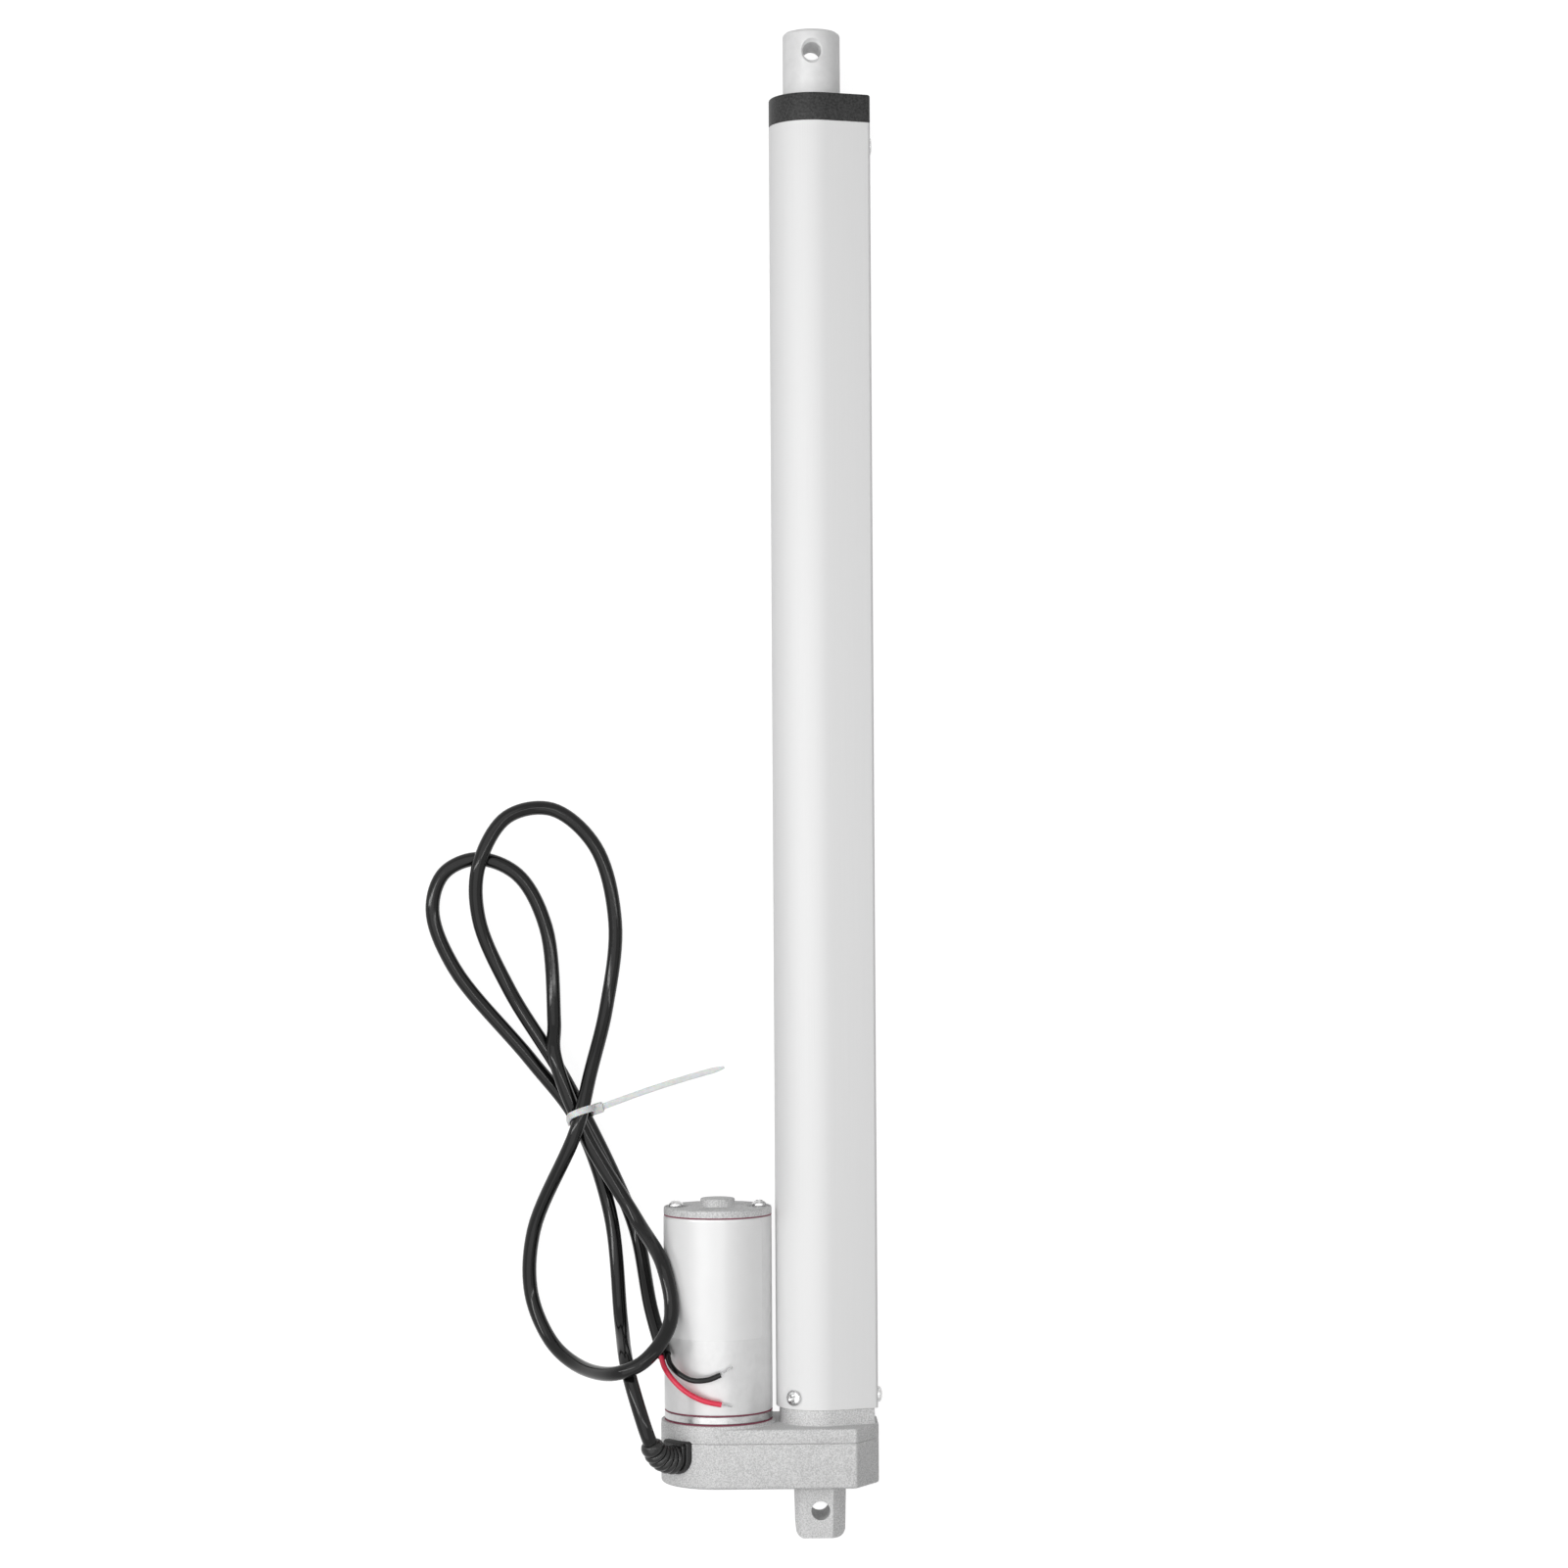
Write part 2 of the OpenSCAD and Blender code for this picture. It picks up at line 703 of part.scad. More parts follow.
module motor_tie_bolts() {
    seat_y = lid_front - scallop_depth;
    color([0.75, 0.76, 0.77])
        for (side = [-1, 1])
            translate([motor_x + side * tie_bolt_offset, seat_y, 0])
                rotate([-90, 0, 0])
                    pan_head_screw(1.4, seat_y - bell_rear - 0.5, tie_bolt_head[0], tie_bolt_head[1]);
}

module motor_mount_screws() {
    color([0.55, 0.56, 0.58])
        for (p = motor_screw_places)
            difference() {
                turned_y(p[0], p[1]) polygon([
                    [0, box_roof], [2.75, box_roof], [1.5, box_roof + 1.25],
                    [1.5, bell_front - 0.4], [0, bell_front - 0.4]
                ]);
                for (a = [0, 90])
                    translate([p[0], box_roof - 0.5, p[1]])
                        rotate([0, a, 0])
                            translate([-1.3, 0, -0.25]) cube([2.6, 1.2, 0.5]);
            }
}

module motor_magnets() {
    half_arc = 60;
    color([0.25, 0.25, 0.27])
        for (turn = [0, 180])
            intersection() {
                ring_y(motor_r - can_wall, 13.3, core_rear - 4, core_front + 4, motor_x);
                translate([motor_x, 0, 0])
                    rotate([0, turn, 0])
                        prism_y(can_rear, can_front) polygon([
                            [0, 0], 60 * [sin(half_arc), cos(half_arc)], [0, 60],
                            60 * [-sin(half_arc), cos(half_arc)]
                        ]);
            }
}

module motor_front_bushing() {
    color([0.65, 0.5, 0.3]) ring_y(bushing_r, shaft_r + 0.04, bell_rear, bell_boss_front, motor_x);
}

module motor_rear_bushing() {
    color([0.65, 0.5, 0.3]) ring_y(bushing_r, shaft_r + 0.04, can_front - 1.3, can_front + 3.7, motor_x);
}

// Plate across the can with a square guide for each brush
module brush_holder() {
    plate_rear = can_front - 5.8;
    color([0.55, 0.38, 0.2]) difference() {
        union() {
            rod_y(motor_r - can_wall - 0.05, plate_rear, plate_rear + 2.5, motor_x);
            for (side = [-1, 1])
                translate([motor_x - 3, plate_rear - 9, side > 0 ? 5.5 : -14.5])
                    cube([6, 9.5, 9]);
        }
        rod_y(5.2, plate_rear - 1, plate_rear + 4, motor_x);
        tie_bolt_holes(1.6, plate_rear - 1, plate_rear + 4);
        for (side = [-1, 1])
            translate([motor_x - 2, plate_rear - 7.5, side > 0 ? 5 : -13.5])
                cube([4, 6, 8.5]);
    }
}

module motor_brushes() {
    color([0.2, 0.2, 0.2])
        for (side = [-1, 1])
            translate([motor_x - 1.95, can_front - 13.25, side > 0 ? 4.25 : -9.5])
                cube([3.9, 5.9, 5.25]);
}

// Coil springs behind the brushes, drawn as their separate turns
module brush_springs() {
    color([0.7, 0.7, 0.72])
        for (side = [-1, 1])
            for (turn = [0:3])
                translate([motor_x, can_front - 10.3, side * (9.95 + turn * 1)])
                    rotate_extrude() translate([1.3, 0]) circle(r = 0.3, $fn = 16);
}

// ---------------------------------------------------------------- armature

module motor_shaft() {
    color([0.7, 0.7, 0.72]) rod_y(shaft_r, motor_pinion_y[0] - 0.6, boss_front - 1.8, motor_x);
}

// Windings' pockets in the armature, drawn in by gap
module winding_pockets(gap) {
    for (k = [0:4])
        rotate([0, 0, 72 * k])
            translate([5.2 + gap, -2.4 + gap])
                square([6 - 2 * gap, 4.8 - 2 * gap]);
}

module armature_core() {
    color([0.4, 0.4, 0.42])
        translate([motor_x, 0, 0])
            prism_y(core_rear, core_front) difference() {
                circle(r = 12.7);
                circle(r = shaft_r);
                winding_pockets(0);
                for (k = [0:4])
                    rotate([0, 0, 72 * k]) translate([10, -0.8]) square([4, 1.6]);
            }
}

module armature_windings() {
    color([0.7, 0.35, 0.15]) {
        translate([motor_x, 0, 0]) prism_y(core_rear - 1, core_front + 1) winding_pockets(0.15);
        ring_y(11, 4.8, core_rear - 3.5, core_rear, motor_x);
        ring_y(11, 4.8, core_front, core_front + 3.5, motor_x);
    }
}

module commutator() {
    color([0.72, 0.42, 0.2])
        translate([motor_x, 0, 0])
            prism_y(can_front - 15.3, can_front - 6.3) difference() {
                circle(r = 4.2);
                circle(r = shaft_r);
                for (k = [0:4])
                    rotate([0, 0, 72 * k + 36]) translate([3.6, -0.2]) square([1, 0.4]);
            }
}

module motor_pinion() {
    color([0.75, 0.6, 0.25])
        translate([motor_x, 0, 0])
            prism_y(motor_pinion_y[0], motor_pinion_y[1]) difference() {
                rotate([0, 0, 180 / motor_teeth])
                    gear_outline(fast_module, motor_teeth, pinion_shift, backlash);
                circle(r = shaft_r);
            }
}

// ---------------------------------------------------------------- idler

module idler_axle() {
    color([0.7, 0.7, 0.72]) rod_y(idler_axle_r, box_rear + 1.2, box_roof + 0.9, idler_x);
}

module idler_wheel() {
    color([0.85, 0.83, 0.75])
        translate([idler_x, 0, 0])
            prism_y(wheel_y[0], wheel_y[1]) difference() {
                rotate([0, 0, 180])
                    gear_outline(fast_module, wheel_teeth, -pinion_shift, backlash);
                circle(r = sleeve_r);
            }
}

module idler_pinion() {
    color([0.6, 0.6, 0.62]) difference() {
        union() {
            translate([idler_x, 0, 0])
                prism_y(idler_pinion_y[0], idler_pinion_y[1])
                    gear_outline(slow_module, idler_teeth, pinion_shift, backlash);
            rod_y(sleeve_r, idler_pinion_y[1] - 1, wheel_y[1] + 0.2, idler_x);
        }
        rod_y(idler_axle_r + 0.05, idler_pinion_y[0] - 1, wheel_y[1] + 1, idler_x);
    }
}

// ---------------------------------------------------------------- lead screw

// Screw with its thread drawn as rings, one to a pitch
module lead_screw() {
    root_r = thread_r - thread_depth;
    turns = floor((thread_front - thread_rear - 1) / thread_pitch);
    color([0.6, 0.61, 0.63]) difference() {
        turned_y() polygon(concat(
            [
                [0, screw_rear], [lower_bearing[0], screw_rear], [lower_bearing[0], 15],
                [gear_seat_r, 15], [gear_seat_r, hub_front], [upper_bearing[0], hub_front],
                [upper_bearing[0], thread_rear], [thread_r, thread_rear]
            ],
            [
                for (n = [0:turns - 1])
                    let (y = thread_rear + 1 + n * thread_pitch)
                        each [[thread_r, y], [root_r, y + 0.35], [root_r, y + 1.55], [thread_r, y + 1.9]]
            ],
            [
                [thread_r, thread_front], [screw_tip_r, thread_front],
                [screw_tip_r, thread_front + 5], [0, thread_front + 5]
            ]
        ));
        translate([0, gear_pin_y, -8]) cylinder(r = gear_pin_r, h = 16);
    }
}

module screw_gear() {
    color([0.85, 0.83, 0.75]) difference() {
        union() {
            prism_y(screw_gear_y[0], screw_gear_y[1])
                rotate([0, 0, 180 - 180 / screw_teeth])
                    gear_outline(slow_module, screw_teeth, -pinion_shift, backlash);
            rod_y(hub_r, screw_gear_y[1] - 1, hub_front);
        }
        rod_y(gear_seat_r, screw_gear_y[0] - 1, hub_front + 1);
        translate([0, gear_pin_y, -8]) cylinder(r = gear_pin_r, h = 16);
    }
}

module gear_pin() {
    color([0.7, 0.7, 0.72]) translate([0, gear_pin_y, 0.2 - hub_r])
        cylinder(r = gear_pin_r, h = 2 * hub_r - 0.4);
}

module bearing_spacer() {
    color([0.7, 0.7, 0.72]) ring_y(hub_r, upper_bearing[0], hub_front, upper_bearing_y);
}

module screw_tip_guide() {
    color([0.85, 0.85, 0.82]) ring_y(rod_bore_r - 0.08, screw_tip_r, thread_front + 0.5, thread_front + 4.5);
}

module lower_bearing_outer_race() {
    color([0.7, 0.71, 0.73]) outer_race(lower_bearing, lower_bearing_y);
}

module lower_bearing_inner_race() {
    color([0.7, 0.71, 0.73]) inner_race(lower_bearing, lower_bearing_y);
}

module lower_bearing_balls() {
    color([0.8, 0.8, 0.82]) bearing_balls(lower_bearing, lower_bearing_y);
}

module upper_bearing_outer_race() {
    color([0.7, 0.71, 0.73]) outer_race(upper_bearing, upper_bearing_y);
}

module upper_bearing_inner_race() {
    color([0.7, 0.71, 0.73]) inner_race(upper_bearing, upper_bearing_y);
}

module upper_bearing_balls() {
    color([0.8, 0.8, 0.82]) bearing_balls(upper_bearing, upper_bearing_y);
}

module bearing_circlip() {
    front = upper_bearing_y + upper_bearing[2];
    color([0.3, 0.3, 0.32]) difference() {
        ring_y(upper_bearing[1] + 0.5, upper_bearing[1] - 1.3, front, front + 1.1);
        translate([8, front - 1, -1.5]) cube([5, 4, 3]);
    }
}

// ---------------------------------------------------------------- nut and rod

module drive_nut() {
    color([0.85, 0.83, 0.75]) difference() {
        union() {
            rod_y(nut_r, nut_rear, nut_front);
            // Nose that keeps the nut from turning and passes under the switches
            intersection() {
                prism_y(nose_rear, nose_rear + nose_length)
                    tube_outline(tube_wall + nose_gap, tube_inner_reach - nose_gap, inner_corner);
                translate([8, nose_rear, -15]) cube([nose_reach - 8, nose_length, 17]);
            }
        }
        rod_y(thread_r + 0.08, nut_rear - 1, nut_front + 1);
        rod_y(rod_r, rod_rear, nut_front + 1);
        for (turn = [0, 180])
            on_tube(nut_screw_y, turn, 7) cylinder(r = nut_screw_r, h = 7);
    }
}

module nut_screws() {
    color([0.3, 0.3, 0.32])
        for (turn = [0, 180])
            on_tube(nut_screw_y, turn, 8.2) difference() {
                cylinder(r = nut_screw_r, h = 4.2);
                translate([0, 0, 3]) cylinder(r = nut_screw_r / 2, h = 2, $fn = 6);
            }
}

module rod_tube() {
    color([0.75, 0.76, 0.78]) difference() {
        ring_y(rod_r, rod_bore_r, rod_rear, rod_joint_y);
        for (turn = [0, 180])
            on_tube(nut_screw_y, turn, 7) cylinder(r = nut_screw_r, h = 7);
    }
}

module rod_end() {
    plug_rear = rod_joint_y - 15;
    hole_r = front_hole_d / 2;
    sink = 0.75;
    color([0.76, 0.77, 0.78]) difference() {
        turned_y() polygon([
            [0, plug_rear], [rod_bore_r, plug_rear], [rod_bore_r, rod_joint_y], [rod_r, rod_joint_y],
            [rod_r, rod_front - 1.2], [rod_r - 1.2, rod_front], [0, rod_front]
        ]);
        // Cross hole, countersunk at both mouths
        translate([0, front_hole_y, 0]) rotate_extrude() polygon([
            [0, -rod_r - 1], [hole_r + sink + 1, -rod_r - 1], [hole_r, -rod_r + sink],
            [hole_r, rod_r - sink], [hole_r + sink + 1, rod_r + 1], [0, rod_r + 1]
        ]);
    }
}

// ---------------------------------------------------------------- limit switches

module switch_board() {
    color([0.12, 0.35, 0.2])
        translate([board_x, switch_y - 8, -board_width / 2])
            cube([board_thick, switch_gap + 15, board_width]);
}

// Small switch with the bore that its plunger slides in
module limit_switch(y) {
    color([0.12, 0.12, 0.13]) difference() {
        translate([plunger_x - 1.8, y - 6, 3.2]) cube([board_x - plunger_x + 1.8, 12, 5.2]);
        translate([plunger_x, y, 3]) cylinder(r = plunger_r + 0.05, h = 2.6);
    }
}

module lower_limit_switch() {
    limit_switch(switch_y);
}

module upper_limit_switch() {
    limit_switch(switch_y + switch_gap);
}

module switch_plunger(y) {
    color([0.8, 0.15, 0.12]) translate([plunger_x, y, plunger_z])
        cylinder(r = plunger_r, h = 2.5);
}

module lower_switch_plunger() {
    switch_plunger(switch_y);
}

module upper_switch_plunger() {
    switch_plunger(switch_y + switch_gap);
}

module switch_wires() {
    color([0.7, 0.15, 0.12]) cord(switch_wire_route, 1, 8);
}

// ---------------------------------------------------------------- cable

// Rubber strain relief: a neck in the gearbox's slot, a saddle flange outside and
// a tail of ribs that bends towards +Y
module strain_relief() {
    flange_half = gland_flange_half;
    color([0.09, 0.09, 0.1])
        translate([motor_x, gland_y, 0])
            rotate([0, gland_turn, 0]) {
                translate([0, 0, 16]) cylinder(r = gland_neck_r, h = 6);
                translate([-gland_neck_r, 0, 16])
                    cube([2 * gland_neck_r, box_split - gland_y, 6]);
                translate([0, 0, 15.3]) cylinder(r = gland_rib_r, h = 1.2);
                difference() {
                    union() {
                        translate([0, gland_flange_shift, 0])
                            cylinder(r = flange_half, h = gland_tail_z);
                        translate([-flange_half, gland_flange_shift, 0])
                            cube([2 * flange_half, box_split - gland_y, gland_tail_z]);
                    }
                    translate([0, -10, 0]) rotate([-90, 0, 0]) cylinder(r = gland_wall_r, h = 20);
                    translate([-20, -20, -20]) cube([40, 40, 36]);
                }
                for (k = [0:gland_ribs])
                    relief_step(k / gland_ribs) {
                        cylinder(r = 3.4, h = 2.6);
                        translate([0, 0, 1.1])
                            cylinder(r = gland_rib_r - 1.1 * k / gland_ribs, h = 1.1);
                    }
            }
}

// A place along the relief's bent tail, from 0 at the flange to 1 at the last rib
module relief_step(place) {
    a = place * (gland_bend - 12);
    translate([0, gland_bend_r * (1 - cos(a)), gland_tail_z - 0.3 + gland_bend_r * sin(a)])
        rotate([-a, 0, 0]) children();
}

module cable() {
    color([0.1, 0.1, 0.11]) cord(smooth(cable_route, 3), cable_r, 10);
}

// Nylon tie: a loop round the strands, its head and its long free tail
module cable_tie() {
    wall = tie_thick;
    head_x = tie_loop_width / 2 + 0.2;
    tail_x = head_x + tie_head[0] / 2;
    tail_start = [
        tie_place[0] + tail_x * cos(tie_turn) - tie_head_y * sin(tie_turn),
        tie_place[1] + tail_x * sin(tie_turn) + tie_head_y * cos(tie_turn),
        tie_head_z
    ];
    reach = tie_tail_end - tail_start;
    color([0.88, 0.88, 0.86]) {
        translate([tie_place[0], tie_place[1], 0])
            rotate([0, 0, tie_turn]) {
                rotate([90, 0, 0])
                    translate([0, 0, -tie_width / 2])
                        linear_extrude(tie_width) difference() {
                            tie_window(wall);
                            tie_window(0);
                        }
                translate([head_x, tie_head_y - tie_head[1] / 2, tie_head_z - tie_head[2] / 2])
                    cube(tie_head);
            }
        translate(tail_start)
            rotate([0, -atan2(reach[2], norm([reach[0], reach[1]])), atan2(reach[1], reach[0])])
                translate([0, -tie_width / 2, -wall / 2]) cube([norm(reach), tie_width, wall]);
    }
}

// Window of the tie's loop, drawn outwards by a wall
module tie_window(wall) {
    translate([-tie_loop_width / 2 - wall, tie_loop_low - wall])
        square([tie_loop_width + 2 * wall, tie_loop_high - tie_loop_low + 2 * wall]);
}

module bared_lead(route, bare) {
    cord(route, lead_r, 8);
    cord(bare, 0.4, 8);
}

module red_lead() {
    color([0.8, 0.08, 0.12]) bared_lead(red_route, red_bare);
}

module black_lead() {
    color([0.08, 0.1, 0.09]) bared_lead(black_route, black_bare);
}

// ---------------------------------------------------------------- parts

gearbox_housing();
gearbox_cover();
gearbox_screws();
outer_tube();
tube_screws();
front_cap();
cap_screw();
rod_guide_bush();
rod_wiper();
motor_base_gasket();
motor_front_bell();
motor_can_gasket();
motor_can();
motor_cap_gasket();
motor_end_cap();
motor_label();
motor_tie_bolts();
motor_mount_screws();
motor_magnets();
motor_front_bushing();
motor_rear_bushing();
brush_holder();
motor_brushes();
brush_springs();
motor_shaft();
armature_core();
armature_windings();
commutator();
motor_pinion();
idler_axle();
idler_wheel();
idler_pinion();
lead_screw();
screw_gear();
gear_pin();
bearing_spacer();
screw_tip_guide();
lower_bearing_outer_race();
lower_bearing_inner_race();
lower_bearing_balls();
upper_bearing_outer_race();
upper_bearing_inner_race();
upper_bearing_balls();
bearing_circlip();
drive_nut();
nut_screws();
rod_tube();
rod_end();
switch_board();
lower_limit_switch();
upper_limit_switch();
lower_switch_plunger();
upper_switch_plunger();
switch_wires();
strain_relief();
cable();
cable_tie();
red_lead();
black_lead();
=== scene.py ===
"""Looks of the linear actuator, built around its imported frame.

Shapes are drawn in millimetres in the frame's own axes and scaled to metres when
their meshes are made. Places and sizes come from the frame's nodes.
"""

import json
import math
import random

import bmesh
import bpy
from mathutils import Matrix, Vector


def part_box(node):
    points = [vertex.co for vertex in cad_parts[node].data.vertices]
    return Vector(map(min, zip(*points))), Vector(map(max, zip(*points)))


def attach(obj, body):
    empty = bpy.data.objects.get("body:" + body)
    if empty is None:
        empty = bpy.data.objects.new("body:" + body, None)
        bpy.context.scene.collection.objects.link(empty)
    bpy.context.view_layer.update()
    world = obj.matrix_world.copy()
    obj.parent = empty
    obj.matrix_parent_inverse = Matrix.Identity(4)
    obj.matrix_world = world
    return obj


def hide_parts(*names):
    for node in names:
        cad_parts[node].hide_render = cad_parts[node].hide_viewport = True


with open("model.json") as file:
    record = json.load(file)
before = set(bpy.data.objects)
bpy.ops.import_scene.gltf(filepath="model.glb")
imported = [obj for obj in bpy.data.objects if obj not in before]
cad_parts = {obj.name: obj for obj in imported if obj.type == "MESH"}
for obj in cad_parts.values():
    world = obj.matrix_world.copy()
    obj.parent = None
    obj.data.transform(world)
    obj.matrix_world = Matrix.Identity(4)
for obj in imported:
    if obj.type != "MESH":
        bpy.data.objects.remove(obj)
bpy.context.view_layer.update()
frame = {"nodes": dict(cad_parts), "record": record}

MM = 0.001
SCENE = bpy.context.scene


def low(node):
    """Lowest corner of a CAD node, in millimetres."""
    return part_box(node)[0] / MM


def high(node):
    """Highest corner of a CAD node, in millimetres."""
    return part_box(node)[1] / MM


def grey(level):
    return (level,) * 3


def full_turn(count):
    """Angles of points evenly round a circle, in radians."""
    return [2 * math.pi * k / count for k in range(count)]


# ---- main sizes

MOTOR_X = (low("motor_can").x + high("motor_can").x) / 2
MOTOR_R = (high("motor_can").x - low("motor_can").x) / 2
TUBE_R = -low("outer_tube").x
TUBE_REACH = high("outer_tube").x
TUBE_WALL = 2.0
FLANK_TILT = math.radians(16.8)
BOX_HALF = high("gearbox_cover").z
BOX_REACH = high("gearbox_cover").x
ROD_R = high("rod_end").x
CABLE_D = 5.0
LEAD_D = 1.9

# ---- routes

# The cable's centre line, from the gland to its free end, as in the CAD source
CABLE_ROUTE = [
    (-58.1, 25.3, 23.1), (-60.3, 31.8, 24.4), (-65.9, 49.9, 17.9), (-68.8, 63.8, -4.4),
    (-72.8, 100.5, -15.4), (-83.9, 132.6, -15.4), (-100.3, 154.3, -15.4),
    (-127.3, 187.1, -15.5), (-134.7, 207.3, -15.3), (-130.6, 220.2, -15.3),
    (-118.9, 225.2, -15.3), (-104.8, 219.6, -15.3), (-94.9, 201.1, -15.4),
    (-92, 167.9, -13.2), (-91.7, 156.6, -7.3), (-81.2, 128.9, -6.7),
    (-63.4, 99.3, -5.4), (-53.7, 84.3, 10.4), (-51.3, 66.7, 16.2), (-59.7, 54.4, 24),
    (-68.5, 50, 22.8), (-84.1, 49.3, -1.1), (-93.9, 56.7, -11.5),
    (-100.7, 72.4, -16.7), (-99.6, 94.5, -14.3), (-83.9, 130.9, -1),
    (-79.1, 150.5, -6.6), (-73.8, 172.4, -14.8), (-70.5, 202.6, -15.2),
    (-77.4, 229.4, -14.8), (-92.6, 242.5, -14.9), (-108.2, 239.8, -12),
    (-117.9, 223.1, -9.3), (-118.3, 204.1, -13.4), (-107.8, 179, -15.8),
    (-89.5, 149.8, -11.9), (-72.1, 115.6, -12.1), (-63.8, 94.2, -16.6),
    (-58.5, 68.9, -3.3), (-53.7, 54.2, 11.5),
]

# The two leads, from the cable's end to where their insulation stops, and on to
# the end of their bare strands
RED_ROUTE = [
    (-54.7, 53.8, 11.4), (-53.5, 50.3, 13.4), (-50.7, 46.4, 15.4),
    (-45.8, 42.3, 18), (-40, 39.6, 19.7), (-34, 38.3, 20),
]
RED_BARE = [(-34.3, 38.4, 20), (-30.2, 37.5, 19.5)]
BLACK_ROUTE = [
    (-52.5, 54.6, 11.6), (-51.7, 51.8, 14), (-49.2, 49.1, 16.8),
    (-44.2, 46.7, 19.5), (-38.6, 46.9, 20.2), (-34.2, 48.5, 20),
]
BLACK_BARE = [(-34.5, 48.4, 20), (-30.1, 51.2, 19.5)]


def curve_point(a, b, c, d, t):
    """Point at share t of the centripetal Catmull-Rom spline from b to c."""
    ab, bc, cd = (math.sqrt((q - p).length) for p, q in ((a, b), (b, c), (c, d)))
    leave = c - b + bc * ((b - a) / ab - (c - a) / (ab + bc))
    arrive = c - b + bc * ((d - c) / cd - (d - b) / (bc + cd))
    square = 3 * (c - b) - 2 * leave - arrive
    cube = leave + arrive - 2 * (c - b)
    return b + t * leave + t**2 * square + t**3 * cube


def smooth_route(points, steps):
    """Smooth line through a route's points, in steps from each to the next."""
    p = [Vector(q) for q in points]
    p = [2 * p[0] - p[1], *p, 2 * p[-1] - p[-2]]
    line = [
        curve_point(*p[i : i + 4], k / steps)
        for i in range(len(p) - 3)
        for k in range(steps)
    ]
    return [*line, p[-2]]


# ---- materials


def shader(name, color, rough, metal=0.0, **sockets):
    """New material with a Principled shader and its constant sockets set."""
    material = bpy.data.materials.new(name)
    material.use_nodes = True
    material.diffuse_color = (*color, 1)
    principled = material.node_tree.nodes["Principled BSDF"]
    principled.inputs["Base Color"].default_value = (*color, 1)
    principled.inputs["Roughness"].default_value = rough
    principled.inputs["Metallic"].default_value = metal
    for socket, value in sockets.items():
        principled.inputs[socket.replace("_", " ")].default_value = value
    return material


def add(owner, kind, inputs=None, **settings):
    """New node in a material or world, with its inputs set or linked."""
    tree = owner.node_tree
    made = tree.nodes.new(kind)
    for key, value in settings.items():
        setattr(made, key, value)
    for key, value in (inputs or {}).items():
        if isinstance(value, bpy.types.NodeSocket):
            tree.links.new(value, made.inputs[key])
        else:
            made.inputs[key].default_value = value
    return made


def principled_of(material):
    return material.node_tree.nodes["Principled BSDF"]


def grain(material, size, detail=3.0, stretch=(1, 1, 1)):
    """Noise whose blotches are about size millimetres, longer along a stretch."""
    place = add(material, "ShaderNodeTexCoord").outputs["Object"]
    scale = tuple(1 / s for s in stretch)
    mapped = add(material, "ShaderNodeMapping", {"Vector": place, "Scale": scale})
    inputs = {"Vector": mapped.outputs["Vector"], "Scale": 1 / (size * MM)}
    inputs |= {"Detail": detail, "Roughness": 0.55}
    return add(material, "ShaderNodeTexNoise", inputs).outputs["Fac"]


def spread(material, value, low_in, high_in, low_out, high_out):
    """A value mapped from one range to another, and held inside it."""
    inputs = {"Value": value, "From Min": low_in, "From Max": high_in}
    inputs |= {"To Min": low_out, "To Max": high_out}
    return add(material, "ShaderNodeMapRange", inputs).outputs["Result"]


def tint(material, value, dark, light, low_in=0.35, high_in=0.65):
    """Colours the material from dark to light with a value."""
    ramp = add(material, "ShaderNodeValToRGB", {"Fac": value})
    ramp.color_ramp.elements[0].position = low_in
    ramp.color_ramp.elements[0].color = (*dark, 1)
    ramp.color_ramp.elements[1].position = high_in
    ramp.color_ramp.elements[1].color = (*light, 1)
    return ramp.outputs["Color"]


def blend_colors(material, value, first, second):
    mixed = add(material, "ShaderNodeMix", data_type="RGBA")
    tree = material.node_tree
    tree.links.new(value, mixed.inputs["Factor"])
    for key, color in (("A", first), ("B", second)):
        socket = next(s for s in mixed.inputs if s.name == key and s.type == "RGBA")
        if isinstance(color, bpy.types.NodeSocket):
            tree.links.new(color, socket)
        else:
            socket.default_value = (*color, 1)
    return next(s for s in mixed.outputs if s.type == "RGBA")


def use_color(material, color):
    material.node_tree.links.new(color, principled_of(material).inputs["Base Color"])


def use_roughness(material, value, smooth, rough):
    result = spread(material, value, 0.3, 0.7, smooth, rough)
    material.node_tree.links.new(result, principled_of(material).inputs["Roughness"])


def use_bumps(material, *bumps):
    """Bumps from pairs of a value and its height in millimetres, one over another."""
    normal = None
    for value, height in bumps:
        inputs = {"Height": value, "Distance": height * MM, "Strength": 1.0}
        if normal is not None:
            inputs["Normal"] = normal
        normal = add(material, "ShaderNodeBump", inputs).outputs["Normal"]
    material.node_tree.links.new(normal, principled_of(material).inputs["Normal"])


def edge_wear(material, width):
    """1 along worn edges and 0 elsewhere, for edges up to width millimetres."""
    flat_enough, worn = 0.98, 0.75
    rounded = add(material, "ShaderNodeBevel", {"Radius": width * MM}, samples=4)
    flat = add(material, "ShaderNodeNewGeometry")
    normals = {0: rounded.outputs["Normal"], 1: flat.outputs["Normal"]}
    alike = add(material, "ShaderNodeVectorMath", normals, operation="DOT_PRODUCT")
    return spread(material, alike.outputs["Value"], flat_enough, worn, 0, 1)


